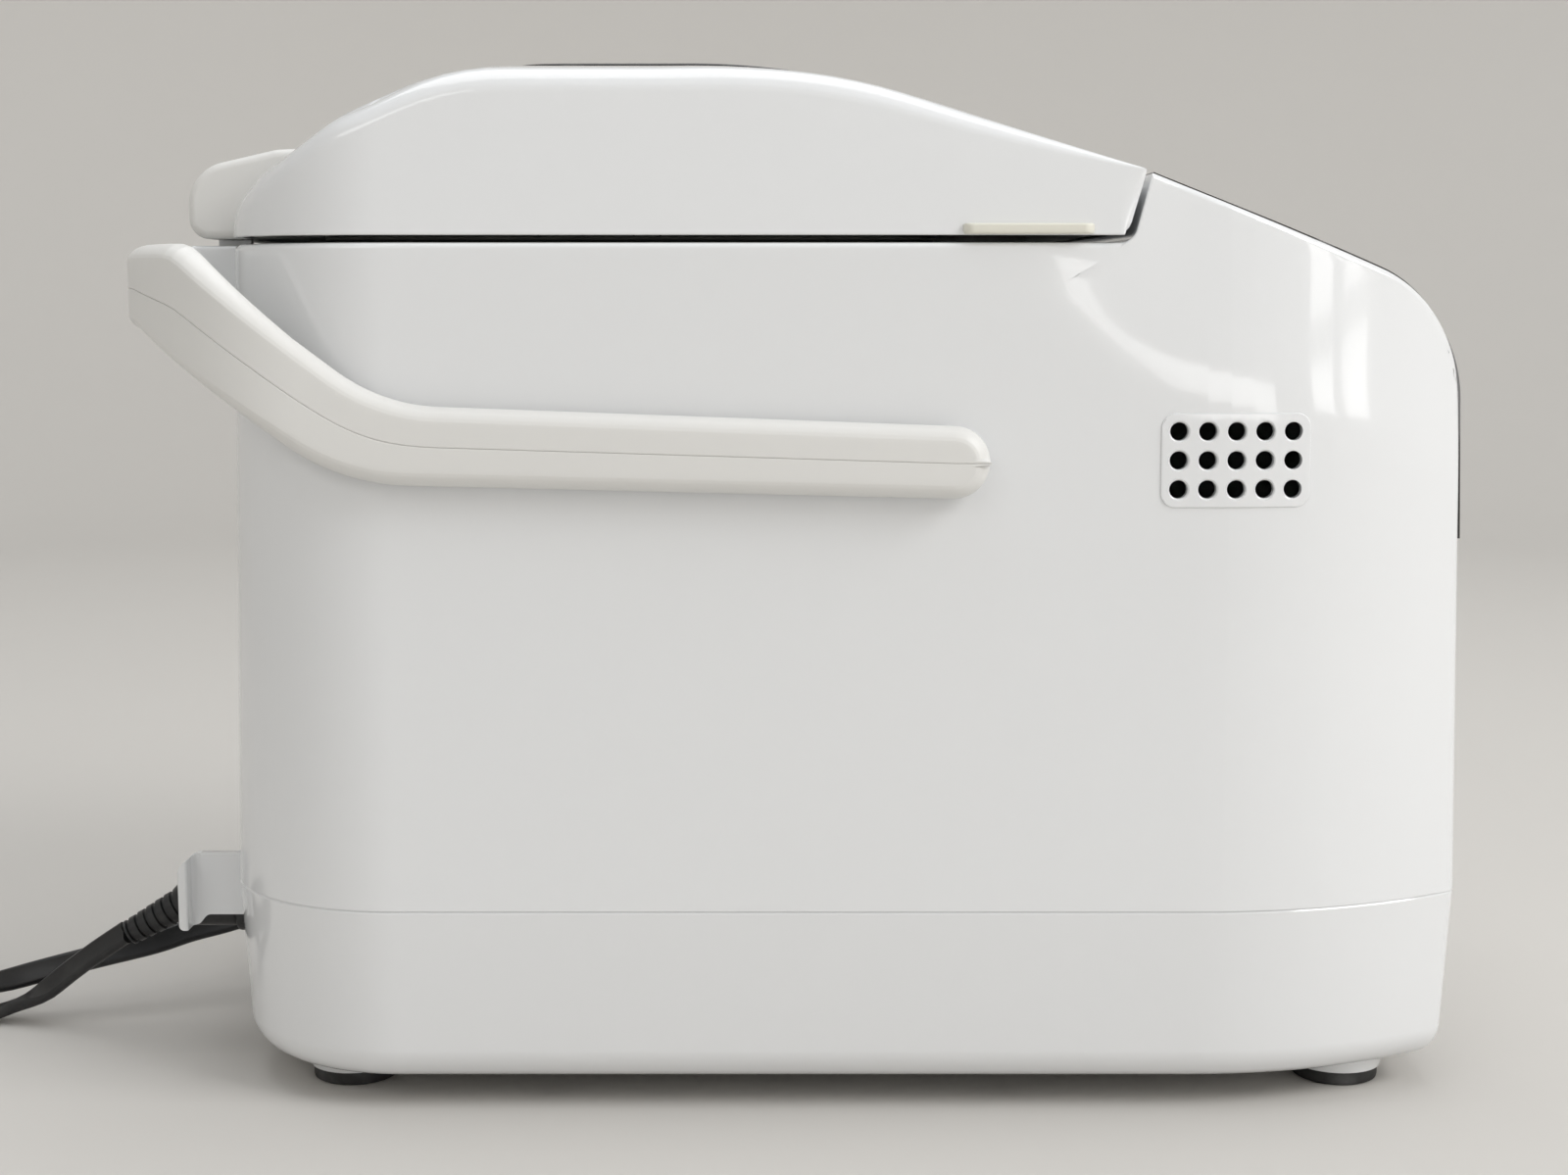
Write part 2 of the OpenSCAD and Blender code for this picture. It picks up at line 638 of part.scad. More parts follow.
// Deep-drawn liner that follows the lid, with a flange under the lid frame
module lid_inner_cover() {
    color([0.78, 0.79, 0.8]) difference() {
        union() {
            intersection() {
                lid_form(-inner_drop, 4 * wall);
                along_z(rect(inner_half, inner_half, inner_r, 0, pan_y), frame_z - flange_t, lid_top_z);
            }
            along_z(rect(flange_half, flange_half, chamber_r + 2, 0, pan_y), frame_z - flange_t, frame_z);
        }
        intersection() {
            lid_form(-inner_drop - sheet, 4 * wall);
            along_z(rect(inner_half - sheet, inner_half - sheet, inner_r - sheet, 0, pan_y), 0, lid_top_z);
        }
        along_z(rect(glass_hx - 4, glass_hy - 4, 5, 0, window_y), lid_z + lid_h / 2, lid_top_z);
    }
}

module lid_inner_glass() {
    color([0.7, 0.8, 0.82, 0.4]) intersection() {
        difference() {
            lid_form(-inner_drop + 2.5, 4 * wall);
            lid_form(-inner_drop, 4 * wall);
        }
        along_z(rect(glass_hx - 0.5, glass_hy - 0.5, 7, 0, window_y), lid_z + lid_h / 2, lid_top_z);
    }
}

module lid_seal() {
    seal_z = deck_z + rim_t + 0.3;
    color([0.75, 0.3, 0.25]) difference() {
        along_z(rect(chamber_half + 1, chamber_half + 1, chamber_r + 1, 0, pan_y),
                seal_z, frame_z - flange_t);
        along_z(rect(chamber_half - 2, chamber_half - 2, chamber_r - 2, 0, pan_y), 0, lid_top_z);
    }
}

// ---- Hinge ----
cover_wall = 2.2;
cover_h = 17.1;
cover_top_z = hinge_z + cover_h;
cover_back_h = 10.5;
cover_back_r = 9;
cover_brow = 17;
cover_lap = 24;
cover_outline = [[lid_back_y - cover_lap, lid_z, 0], [hinge_y + hinge_r, lid_z, 6],
                 [hinge_y + hinge_r, hinge_z + cover_back_h, cover_back_r],
                 [hinge_y - cover_brow, cover_top_z, 5], [lid_back_y - cover_lap - 6, cover_top_z + 1, 0]];
rib_t = 4;
rib_gap = 0.4;
ear_slot = ear_half + 0.8;
pin_out = ear_t / 2 + rib_gap + rib_t;

module hinge_cover() {
    rib_xs = [for (x = ear_xs) for (s = [-1, 1]) x + s * (ear_t / 2 + rib_gap + rib_t / 2)];
    color([0.92, 0.91, 0.89]) difference() {
        union() {
            difference() {
                along_x(cover_outline, -hinge_w / 2, hinge_w / 2);
                along_x(grown(cover_outline, -cover_wall),
                        -hinge_w / 2 + cover_wall, hinge_w / 2 - cover_wall);
            }
            intersection() {
                for (x = rib_xs) {
                    rod_x(hinge_y, hinge_z, 7.2, x - rib_t / 2, x + rib_t / 2);
                    box(x - rib_t / 2, x + rib_t / 2, hinge_y - 20, hinge_y + 4, hinge_z, cover_top_z);
                }
                along_x(cover_outline, -hinge_w / 2, hinge_w / 2);
            }
        }
        lid_form(0);
        for (x = ear_xs) box(x - ear_t / 2 - rib_gap, x + ear_t / 2 + rib_gap,
                             hinge_y - ear_slot, hinge_y + hinge_r + 1, lid_z - 1, hinge_z + ear_slot);
        for (x = ear_xs) rod_x(hinge_y, hinge_z, hinge_pin_r + running, x - pin_out - 1, x + pin_out + 1);
    }
}

module hinge_bracket() {
    foot_z = deck_z - wall - 2;
    ear = [[hinge_y - ear_half, foot_z, 0], [hinge_y + ear_half, foot_z, 0],
           [hinge_y + ear_half, hinge_z + ear_half, ear_half - eps],
           [hinge_y - ear_half, hinge_z + ear_half, ear_half - eps]];
    color([0.7, 0.71, 0.73]) difference() {
        union() {
            for (x = ear_xs) along_x(ear, x - ear_t / 2, x + ear_t / 2);
            box(-hinge_w / 2 + 4, hinge_w / 2 - 4, hinge_y - ear_half - 1, hinge_y + ear_half + 1.2,
                foot_z, deck_z - wall);
        }
        for (x = ear_xs) rod_x(hinge_y, hinge_z, hinge_pin_r, x - ear_t, x + ear_t);
    }
}

module hinge_pins() {
    color([0.8, 0.8, 0.8]) for (x = ear_xs) rod_x(hinge_y, hinge_z, hinge_pin_r, x - pin_out, x + pin_out);
}

// ---- Carry handle ----
arm_out = arm_x + arm_t;
handle_corner_r = 56;
arm_l = 166.5;
arm_drop = 6;
arm_rise = 15.8;
arm_slant = 9.9;
crossbar_foot = 32.5;
crossbar_h = 27.1;
crossbar_step = 12;
crossbar_foot_z = pivot_z + crossbar_foot;
crossbar_top_z = crossbar_foot_z + crossbar_h;
handle_side =
    let (y2 = handle_back_y, y1 = handle_back_y - crossbar_t)
    [[pivot_y - cap_r, pivot_z - cap_r, cap_r - 0.05], [pivot_y + arm_l, pivot_z - arm_drop, 60],
     [y1, crossbar_foot_z, 8], [y2, crossbar_foot_z, 4], [y2, crossbar_top_z, 5],
     [y1 - crossbar_step, crossbar_top_z, 12], [pivot_y + arm_l - arm_slant, pivot_z + arm_rise, 50],
     [pivot_y - cap_r, pivot_z + cap_r, cap_r - 0.05]];

// The crossbar's inner face is hollowed where it swings past the hinge cover
swing_clear = 1.2;
swing_side = 11;
cover_reach = cover_back_r + norm([hinge_y + hinge_r - cover_back_r - pivot_y,
                                   hinge_z + cover_back_h - cover_back_r - pivot_z]);

module carry_handle() {
    inner_y = handle_back_y - crossbar_t;
    inner_r = handle_corner_r - crossbar_t;
    swing_half = hinge_w / 2 + swing_side;
    color([0.92, 0.91, 0.88]) difference() {
        intersection() {
            along_x(handle_side, -arm_out, arm_out);
            difference() {
                along_z(rect(arm_out, overall_d / 2, handle_corner_r), 0, lid_top_z);
                along_z([[arm_x, -overall_d, 0], [arm_x, inner_y, inner_r],
                         [-arm_x, inner_y, inner_r], [-arm_x, -overall_d, 0]], -1, lid_top_z + 1);
            }
        }
        both_sides() rod_x(pivot_y, pivot_z, pivot_pin_r + running, arm_x - 1, arm_out - 2);
        rod_x(pivot_y, pivot_z, cover_reach + swing_clear, -swing_half, swing_half, $fn = 180);
    }
}

module handle_pivots() {
    color([0.7, 0.7, 0.72]) both_sides() {
        rod_x(pivot_y, pivot_z, pivot_pin_r, boss_face_x - boss_depth - eps, arm_out - 2.4);
        rod_x(pivot_y, pivot_z, pivot_pin_r + 2, boss_face_x - boss_depth - 2, boss_face_x - boss_depth);
    }
}

// ---- Console: panel, display, buttons and board ----
module panel_zone(margin) {
    intersection() {
        along_z(grown(body_plan, -margin - lean(nose_z)), panel_foot_z + margin - panel_margin,
                console_z + 2 * wall);
        box(-half_w, half_w, front_y - wall, step_y(console_z) - 0.6 - margin + panel_margin,
            0, console_z + 2 * wall);
    }
    intersection() {
        box(-half_w + front_inboard, half_w - front_inboard, front_y - 2 * wall, front_y + wall * 4,
            panel_foot_z, nose_z);
        along_z(rect(half_w - front_inboard - 1, overall_d, 0), 0, deck_z);
    }
}

module control_panel() {
    color([0.12, 0.11, 0.11]) difference() {
        intersection() {
            body_form(panel_proud, seam_z);
            panel_zone(panel_margin);
            along_y([[half_w - front_inboard - 1, 0, 0], [half_w + 9, console_z, 0],
                     [half_w + 9, console_z + 20, 0], [-half_w - 9, console_z + 20, 0],
                     [-half_w - 9, console_z, 0], [-half_w + front_inboard + 1, 0, 0]],
                    front_y - 2 * wall, back_y);
        }
        body_form(0, seam_z);
        for (name = button_names) on_slope(button_spot(name)[0], button_spot(name)[1])
            translate([0, 0, -wall]) cylinder(r = button_r + button_clear, h = wall * 3);
        on_slope(0, lcd_down) translate([-lcd_w / 2, -lcd_h / 2, -wall]) cube([lcd_w, lcd_h, wall * 3]);
    }
}

module lcd_lens() {
    color([0.35, 0.4, 0.36, 0.6]) on_slope(0, lcd_down)
        translate([-lcd_w / 2, -lcd_h / 2, 0]) cube([lcd_w, lcd_h, panel_proud - 0.1]);
}

module lcd_module() {
    hx = lcd_w / 2 + 4;
    hy = lcd_h / 2 + 3;
    color([0.5, 0.56, 0.48]) on_slope(0, lcd_down) {
        translate([-lcd_w / 2 + lcd_bezel + 0.2, -lcd_h / 2 + lcd_bezel + 0.2, -wall - eps])
            cube([lcd_w - 2 * lcd_bezel - 0.4, lcd_h - 2 * lcd_bezel - 0.4, wall]);
        translate([-hx, -hy, -pcb_drop]) cube([2 * hx, 2 * hy, pcb_drop - wall]);
    }
}

module button(name) {
    color(name == "start" ? [0.75, 0.35, 0.2] : [0.8, 0.8, 0.79])
        on_slope(button_spot(name)[0], button_spot(name)[1]) {
            translate([0, 0, button_flange_z])
                cylinder(r = button_r, h = panel_proud + button_proud - button_flange_z);
            translate([0, 0, button_foot_z])
                cylinder(r = button_r + button_flange, h = button_flange_z - button_foot_z);
        }
}

// Board with a buzzer, and one tactile switch under each button
module control_pcb() {
    switch_top = button_foot_z - button_travel - 0.2;
    color([0.2, 0.45, 0.25]) difference() {
        union() {
            on_slope(0, 0) translate([-pcb_w / 2, -pcb_down[1], -pcb_drop - pcb_t])
                cube([pcb_w, pcb_down[1] - pcb_down[0], pcb_t]);
            for (name = button_names) on_slope(button_spot(name)[0], button_spot(name)[1]) {
                translate([-3, -3, -pcb_drop - eps]) cube([6, 6, switch_top + pcb_drop - 1.5]);
                translate([0, 0, switch_top - 2]) cylinder(r = 1.75, h = 2);
            }
            on_slope(0, 51) translate([-9, -6, -pcb_drop - eps]) cube([18, 10, 3]);
            on_slope(-4, 35) translate([-6, -4, -pcb_drop - pcb_t - 6]) cube([12, 8, 6 + eps]);
            on_slope(44, 46) translate([0, 0, -pcb_drop - eps]) cylinder(r = 6, h = 7);
        }
        for (p = pcb_posts) on_slope(p[0], p[1]) translate([0, 0, -pcb_drop - pcb_t - 1])
            cylinder(r = 1.5, h = pcb_t + 2);
    }
}

// ---- Baking chamber ----
rim_t = 0.8;
rim_lap = 3;
rim_skirt_h = 10;
heater_r = 3.5;
heater_half = chamber_half - 14;
heater_bend = 22;
heater_z = chamber_floor_z + 18;
heater_lead_x = 16;
heater_out_y = pan_y - chamber_half - 18;
sensor_z = chamber_floor_z + 70;
sensor_x = 40;
housing_r = 11;
socket_r = 36;
stand_x = chamber_half - 15;

module baking_chamber() {
    o = chamber_half + sheet;
    color([0.62, 0.62, 0.6]) difference() {
        along_z(rect(o, o, chamber_r + sheet, 0, pan_y), chamber_floor_z - sheet, deck_z);
        along_z(rect(chamber_half, chamber_half, chamber_r, 0, pan_y), chamber_floor_z, deck_z + 1);
        rod_z(0, pan_y, housing_r + 0.2, 0, chamber_floor_z + 1);
        for (s = [-1, 1])
            rod_y(s * heater_lead_x, heater_z, heater_r + 0.1, pan_y - o - 5, pan_y - chamber_half + 5);
        rod_y(sensor_x, sensor_z, 3.1, pan_y - o - 5, pan_y - chamber_half + 5);
    }
}

module chamber_rim() {
    o = chamber_half + sheet;
    color([0.35, 0.35, 0.36]) difference() {
        union() {
            along_z(rect(deck_half + rim_lap, deck_half + rim_lap, chamber_r + 2 * rim_lap, 0, pan_y),
                    deck_z, deck_z + rim_t);
            along_z(grown(rect(o, o, chamber_r + sheet, 0, pan_y), rim_skirt_t),
                    deck_z - rim_skirt_h, deck_z + rim_t);
        }
        along_z(rect(o, o, chamber_r + sheet, 0, pan_y), 0, deck_z);
        along_z(rect(chamber_half - 0.5, chamber_half - 0.5, chamber_r - 0.5, 0, pan_y), 0, lid_top_z);
    }
}

// A quarter bend of round rod about a vertical axis
module bend(x, y, z, r, tube_r, from) {
    translate([x, y, z]) rotate([0, 0, from]) rotate_extrude(angle = 90) translate([r, 0]) circle(r = tube_r);
}

// Tubular ring round the chamber, with two leads through the front wall
module heater_element() {
    h = heater_half;
    c = h - heater_bend;
    e = 8;
    color([0.35, 0.33, 0.32]) union() {
        rod_y(h, heater_z, heater_r, pan_y - c, pan_y + c);
        rod_y(-h, heater_z, heater_r, pan_y - c, pan_y + c);
        rod_x(pan_y + h, heater_z, heater_r, -c, c);
        both_sides() rod_x(pan_y - h, heater_z, heater_r, heater_lead_x + e, c);
        bend(c, pan_y + c, heater_z, heater_bend, heater_r, 0);
        bend(-c, pan_y + c, heater_z, heater_bend, heater_r, 90);
        bend(-c, pan_y - c, heater_z, heater_bend, heater_r, 180);
        bend(c, pan_y - c, heater_z, heater_bend, heater_r, 270);
        both_sides() {
            bend(heater_lead_x + e, pan_y - h - e, heater_z, e, heater_r, 90);
            rod_y(heater_lead_x, heater_z, heater_r, heater_out_y, pan_y - h - e);
            rod_y(heater_lead_x, heater_z, 1.2, heater_out_y - 7, heater_out_y);
        }
    }
}

// Clips that hold the ring off the chamber's walls
clip_half = 5;
clip_h = 12;
clip_jaw = 6;

module heater_clips() {
    color([0.7, 0.7, 0.68]) for (a = [0, 90, 180]) translate([0, pan_y, heater_z]) rotate([0, 0, a])
        difference() {
            box(heater_half - clip_jaw, chamber_half, -clip_half, clip_half, -clip_h / 2, clip_h / 2);
            box(heater_half - clip_jaw - 1, heater_half, -clip_half - 1, clip_half + 1, -heater_r, heater_r);
            rod_y(heater_half, 0, heater_r, -clip_half - 1, clip_half + 1);
        }
}

module temperature_sensor() {
    wall_y = pan_y - chamber_half - sheet;
    color([0.8, 0.78, 0.7]) union() {
        rod_y(sensor_x, sensor_z, 3, wall_y - 16, pan_y - chamber_half + 11);
        rod_y(sensor_x, sensor_z, 6, wall_y - 4, wall_y);
    }
}

module thermal_fuse() {
    wall_y = pan_y - chamber_half - sheet;
    color([0.85, 0.85, 0.82]) union() {
        rod_x(wall_y - 3, sensor_z, 3, -52, -30);
        box(-46, -36, wall_y - 3, wall_y, sensor_z - 7, sensor_z + 7);
    }
}

socket_t = 3;
socket_h = 12;
socket_flange = 10;
socket_flange_t = 2;

module pan_socket() {
    color([0.7, 0.7, 0.72]) difference() {
        union() {
            rod_z(0, pan_y, socket_r + socket_t, chamber_floor_z, chamber_floor_z + socket_h);
            rod_z(0, pan_y, socket_r + socket_flange, chamber_floor_z, chamber_floor_z + socket_flange_t);
        }
        rod_z(0, pan_y, socket_r, chamber_floor_z + socket_flange_t, chamber_floor_z + 2 * socket_h);
        rod_z(0, pan_y, housing_r + 0.2, 0, chamber_floor_z + 20);
        for (a = [45, 225]) translate([0, pan_y, chamber_floor_z + 5]) rotate([0, 0, a])
            box(socket_r - 5, socket_r + 5, -6, 6, 0, 20);
    }
}

// ---- Bread pan ----
pan_taper = 3.5;
pan_r = 14;
pan_base_r = socket_r - 2;
pan_seat_z = chamber_floor_z + 2;
ear_z = pan_rim_z - 7;
bail_y = pan_hy + 6.5;
bail_bend = 6;
gland_r = 9;
gland_z = pan_floor_z + pan_t + 4.5;

module pan_form(d, z0, z1) {
    function taper(z) = pan_taper * (pan_rim_z - z) / (pan_rim_z - pan_floor_z);
    function trapezium(h, c) = [[c + h + d - taper(z0), z0, 0], [c + h + d - taper(z1), z1, 0],
                                [c - h - d + taper(z1), z1, 0], [c - h - d + taper(z0), z0, 0]];
    intersection() {
        along_z(rect(pan_hx + d, pan_hy + d, pan_r + d, 0, pan_y), z0, z1);
        along_y(trapezium(pan_hx, 0), pan_y - pan_hy - 5, pan_y + pan_hy + 5);
        along_x(trapezium(pan_hy, pan_y), -pan_hx - 5, pan_hx + 5);
    }
}

module bread_pan() {
    color([0.25, 0.24, 0.24]) difference() {
        union() {
            pan_form(0, pan_floor_z, pan_rim_z);
            along_z(rect(pan_hx + 2.5, pan_hy + 2.5, pan_r + 2.5, 0, pan_y), pan_rim_z - 2.5, pan_rim_z);
            for (s = [-1, 1]) translate([0, pan_y + s * (pan_hy + 1), 0])
                box(-6, 6, -3, 3, ear_z - 5, pan_rim_z - 1);
        }
        pan_form(-pan_t, pan_floor_z + pan_t, pan_rim_z + 1);
        rod_z(0, pan_y, gland_r, 0, pan_floor_z + 2 * pan_t);
        rod_y(0, ear_z, bail_r + running, pan_y - pan_hy - 5, pan_y - pan_hy + 20);
        rod_y(0, ear_z, bail_r + running, pan_y + pan_hy - 20, pan_y + pan_hy + 5);
    }
}

module pan_base() {
    color([0.6, 0.6, 0.62]) difference() {
        union() {
            rod_z(0, pan_y, pan_base_r, pan_seat_z, pan_floor_z);
            rod_z(0, pan_y, gland_r, pan_floor_z - 1, gland_z);
        }
        rod_z(0, pan_y, pan_base_r - 4, 0, pan_floor_z - 3);
        rod_z(0, pan_y, shaft_r + running, 0, gland_z + 1);
    }
}

module pan_bail() {
    y = bail_y;
    color([0.75, 0.75, 0.76]) translate([0, pan_y, ear_z]) union() {
        both_ends() rod_y(0, 0, bail_r, pan_hy - 1, y);
        both_ends() translate([0, y, 0]) sphere(r = bail_r);
        both_ends() rod_x(y, 0, bail_r, 0, bail_l - bail_bend);
        both_ends() translate([bail_l - bail_bend, y - bail_bend, 0])
            rotate_extrude(angle = 90) translate([bail_bend, 0]) circle(r = bail_r);
        rod_y(bail_l, 0, bail_r, -y + bail_bend, y - bail_bend);
    }
}
module both_ends() { children(); mirror([0, 1, 0]) children(); }

// ---- Drive train ----
pulley_z = base_z + wall + 4.5;
dog_z = chamber_floor_z + 9;
bush_r = 7;
bush_l = 8;
housing_foot_z = chassis_z - 6;
housing_top_z = chamber_floor_z + 8;

module bearing_housing() {
    top = chassis_z + chassis_t;
    color([0.66, 0.67, 0.68]) difference() {
        union() {
            rod_z(0, pan_y, housing_r, housing_foot_z, housing_top_z);
            rod_z(0, pan_y, 27, top, top + 3);
        }
        rod_z(0, pan_y, bush_r, 0, 100);
        for (a = [0:90:270]) translate([0, pan_y, 0]) rotate([0, 0, a + 45]) rod_z(20, 0, 1.6, 0, 100);
    }
}

module bearing_bushes() {
    color([0.72, 0.55, 0.3]) for (z = [housing_foot_z, housing_top_z - bush_l]) difference() {
        rod_z(0, pan_y, bush_r, z, z + bush_l);
        rod_z(0, pan_y, shaft_r + running, z - 1, z + bush_l + 1);
    }
}

module drive_shaft() { color([0.8, 0.8, 0.82]) rod_z(0, pan_y, shaft_r, pulley_z - 1, dog_z + 3); }

// A flanged belt pulley
module pulley(y, r, bore) {
    z1 = pulley_z + belt_w + 2;
    difference() {
        union() {
            rod_z(0, y, r, pulley_z, z1);
            rod_z(0, y, r + belt_t, pulley_z - 1, pulley_z);
            rod_z(0, y, r + belt_t, z1, z1 + 1);
        }
        rod_z(0, y, bore, 0, 100);
    }
}

module drive_pulley() {
    hub_r = shaft_r + 5;
    web = 3;
    color([0.15, 0.15, 0.15]) difference() {
        pulley(pan_y, big_pulley_r, shaft_r);
        difference() {
            rod_z(0, pan_y, big_pulley_r - 4, pulley_z + web, 100);
            rod_z(0, pan_y, hub_r, 0, 101);
        }
        for (a = [0:60:300]) translate([0, pan_y, 0]) rotate([0, 0, a])
            rod_z((big_pulley_r + hub_r) / 2 - 2, 0, big_pulley_r / 6, 0, 100);
    }
}

// Cross bar with two upright lugs that push the paddle's dog
module drive_dog() {
    color([0.7, 0.7, 0.7]) difference() {
        union() {
            box(-15, 15, pan_y - 4, pan_y + 4, dog_z, dog_z + 4);
            both_sides() box(9, 15, pan_y - 4, pan_y + 4, dog_z, dog_z + 10);
        }
        rod_z(0, pan_y, shaft_r, 0, dog_z + 3);
    }
}

module drive_belt() {
    clear = 0.15;
    z0 = pulley_z + 1;
    reach = pan_y - motor_y;
    tilt = asin((big_pulley_r - small_pulley_r) / reach);
    color([0.1, 0.1, 0.1]) difference() {
        belt_outline(clear + belt_t, z0, z0 + belt_w, reach, tilt);
        belt_outline(clear, 0, 100, reach, tilt);
    }
}
module belt_outline(out, z0, z1, reach, tilt) {
    big = big_pulley_r + out;
    small = small_pulley_r + out;
    rod_z(0, pan_y, big, z0, z1);
    rod_z(0, motor_y, small, z0, z1);
    translate([0, 0, z0]) linear_extrude(z1 - z0)
        polygon([for (p = [[small, motor_y], [big, pan_y], [-big, pan_y], [-small, motor_y]])
                    [p[0] * cos(tilt), p[1] - abs(p[0]) * sin(tilt)]]);
}

module paddle_shaft() { color([0.82, 0.82, 0.84]) rod_z(0, pan_y, shaft_r, dog_z + 5, gland_z + 18); }

dog_half = 4;
dog_reach = 13;
dog_hub_r = 6;

module paddle_dog() {
    color([0.65, 0.65, 0.66]) difference() {
        union() {
            box(-dog_half, dog_half, pan_y - dog_reach, pan_y + dog_reach, dog_z + 5, dog_z + 9.5);
            rod_z(0, pan_y, dog_hub_r, dog_z + 5, pan_floor_z - 3.5);
        }
        rod_z(0, pan_y, shaft_r, 0, pan_rim_z);
    }
}

paddle_hub_r = 8;
paddle_hub_h = 18;
paddle_t = 6;
heel_l = 14;
heel_h = 10;

module kneading_paddle() {
    z0 = gland_z + 1;
    blade = [[0, z0, 0], [paddle_reach, z0, 3], [paddle_reach - 6, z0 + paddle_h, 6],
             [0, z0 + paddle_h * 0.55, 0]];
    color([0.2, 0.2, 0.2]) difference() {
        union() {
            rod_z(0, pan_y, paddle_hub_r, z0, z0 + paddle_hub_h);
            along_y(blade, pan_y - paddle_t / 2, pan_y + paddle_t / 2);
            translate([0, pan_y, z0]) mirror([1, 0, 0])
                box(0, heel_l, -paddle_t / 2, paddle_t / 2, 0, heel_h);
        }
        rod_z(0, pan_y, shaft_r, 0, gland_z + 18);
    }
}

// ---- Motor ----
stator_z = chassis_z + 16;
stator_h = 36;
fan_z = stator_z + stator_h + 12;
mount_spot = stator_w / 2 - 6;
rotor_r = 17.5;
air_gap = 0.5;
motor_frame_t = 8;
motor_bridge_t = 5;
motor_mount_r = 6;
fan_r = 27;
fan_hub_r = 8;
fan_disc_t = 1.5;
fan_blade_t = 1.5;
fan_h = 8;
fan_step = 40;

module motor_stator() {
    color([0.45, 0.45, 0.46]) difference() {
        along_z(rect(stator_w / 2, stator_w / 2, 4, 0, motor_y), stator_z, stator_z + stator_h);
        rod_z(0, motor_y, rotor_r + air_gap, 0, stator_z + 2 * stator_h);
    }
}

module motor_frame() {
    color([0.75, 0.76, 0.77]) difference() {
        union() {
            along_z(rect(stator_w / 2, stator_w / 2, 6, 0, motor_y), stator_z - motor_frame_t, stator_z);
            along_z(rect(stator_w / 2, 18, 6, 0, motor_y),
                    stator_z + stator_h, stator_z + stator_h + motor_bridge_t);
        }
        rod_z(0, motor_y, shaft_r + running, 0, stator_z + 2 * stator_h);
        for (a = [45:90:315])
            translate([0, motor_y, 0]) rotate([0, 0, a]) rod_z(18, 0, 4, 0, stator_z - 2);
    }
}

module motor_mounts() {
    color([0.12, 0.12, 0.12]) for (s = [-1, 1]) both_sides() difference() {
        rod_z(mount_spot, motor_y + s * mount_spot, motor_mount_r,
              chassis_z + chassis_t, stator_z - motor_frame_t);
        rod_z(mount_spot, motor_y + s * mount_spot, screw_r, 0, stator_z);
    }
}

module motor_rotor() {
    color([0.8, 0.8, 0.82]) union() {
        rod_z(0, motor_y, shaft_r, pulley_z - 1, fan_z + fan_h);
        rod_z(0, motor_y, rotor_r, stator_z + 2, stator_z + stator_h - 2);
    }
}

module motor_pulley() { color([0.7, 0.71, 0.72]) pulley(motor_y, small_pulley_r, shaft_r); }

module motor_fan() {
    color([0.88, 0.88, 0.86]) difference() {
        union() {
            rod_z(0, motor_y, fan_hub_r, fan_z - 2, fan_z + fan_h);
            rod_z(0, motor_y, fan_r, fan_z, fan_z + fan_disc_t);
            for (a = [0:fan_step:360 - fan_step])
                translate([0, motor_y, fan_z]) rotate([0, 0, a])
                    box(fan_hub_r - 2, fan_r, -fan_blade_t / 2, fan_blade_t / 2, 0, fan_h);
        }
        rod_z(0, motor_y, shaft_r, 0, fan_z + 2 * fan_h);
    }
}

capacitor_x = -62;
capacitor_y = motor_y - 8;
capacitor_r = 15;
capacitor_top_z = chassis_z + 48;
capacitor_stud_r = 5;
capacitor_stud_h = 5;

module motor_capacitor() {
    color([0.3, 0.3, 0.33]) union() {
        rod_z(capacitor_x, capacitor_y, capacitor_r, chassis_z + chassis_t, capacitor_top_z);
        rod_z(capacitor_x, capacitor_y, capacitor_stud_r,
              capacitor_top_z - 1, capacitor_top_z + capacitor_stud_h);
    }
}

board_x = 80;
board_y = motor_y - 2;
board_half = 46;
board_top_z = chassis_z + 80;
supply_x = board_x - 26;
supply_half = 16;
supply_z = chassis_z + 16;
supply_h = 30;
winding_over = 5;
relay_d = 14;
relay_half = 8;
relay_h = 16;
smoothing_r = 5;
smoothing_l = 12;

// Supply board with its transformer, relay and three smoothing capacitors
module power_pcb() {
    color([0.55, 0.45, 0.25]) union() {
        box(board_x, board_x + pcb_t, board_y - board_half, board_y + board_half,
            chassis_z + chassis_t, board_top_z);
        translate([0, board_y + board_half - 2 - relay_half, board_top_z - 60])
            box(board_x - relay_d, board_x + eps, -relay_half, relay_half, 0, relay_h);
        for (k = [0:2]) rod_x(board_y - board_half + smoothing_l * (k + 1), board_top_z - 18,
                              smoothing_r, board_x - smoothing_l, board_x + eps);
        translate([0, board_y - 2, supply_z]) {
            box(supply_x, board_x + eps, -supply_half, supply_half, 0, supply_h);
            box(supply_x + 4, board_x - 4, -supply_half - winding_over, supply_half + winding_over,
                winding_over + 1, supply_h - winding_over - 1);
        }
    }
}

// ---- Power cord ----
relief_tip_y = back_y + 24;
coil_x = -8;
coil_y = 326;
coil_mid_r = 42;
coil_half = 11;
coil_foot_z = 0.8;
tie_w = 9;
cord_sides = 8;
plug_l = 22;
plug_gap = 0.6;
prong_l = 16.6;
plug_relief_l = 18;

// From the relief to the coil
cord_out = [[0, relief_tip_y - 1, relief_z], [0, relief_tip_y + 8, 26.2], [0, 212, 23.5], [1, 224, 18],
            [3, 238, 11.5], [6, 252, 6], [10, 266, 2.8], [16, 280, 1.9], [25, 296, 1.9], [35, 314, 2.4],
            [41, 332, 2.9]];
// From the coil to the plug
cord_back = [[-57, 330, 6.7], [-57, 312, 5.2], [-51, 294, 3], [-41, 278, 1.9], [-32, 262, 2], [-30, 248, 5.5],
             [-33, 236, 13], [-38, 224, 22], [-41, 213, 30.5], [-41, 206, 35]];

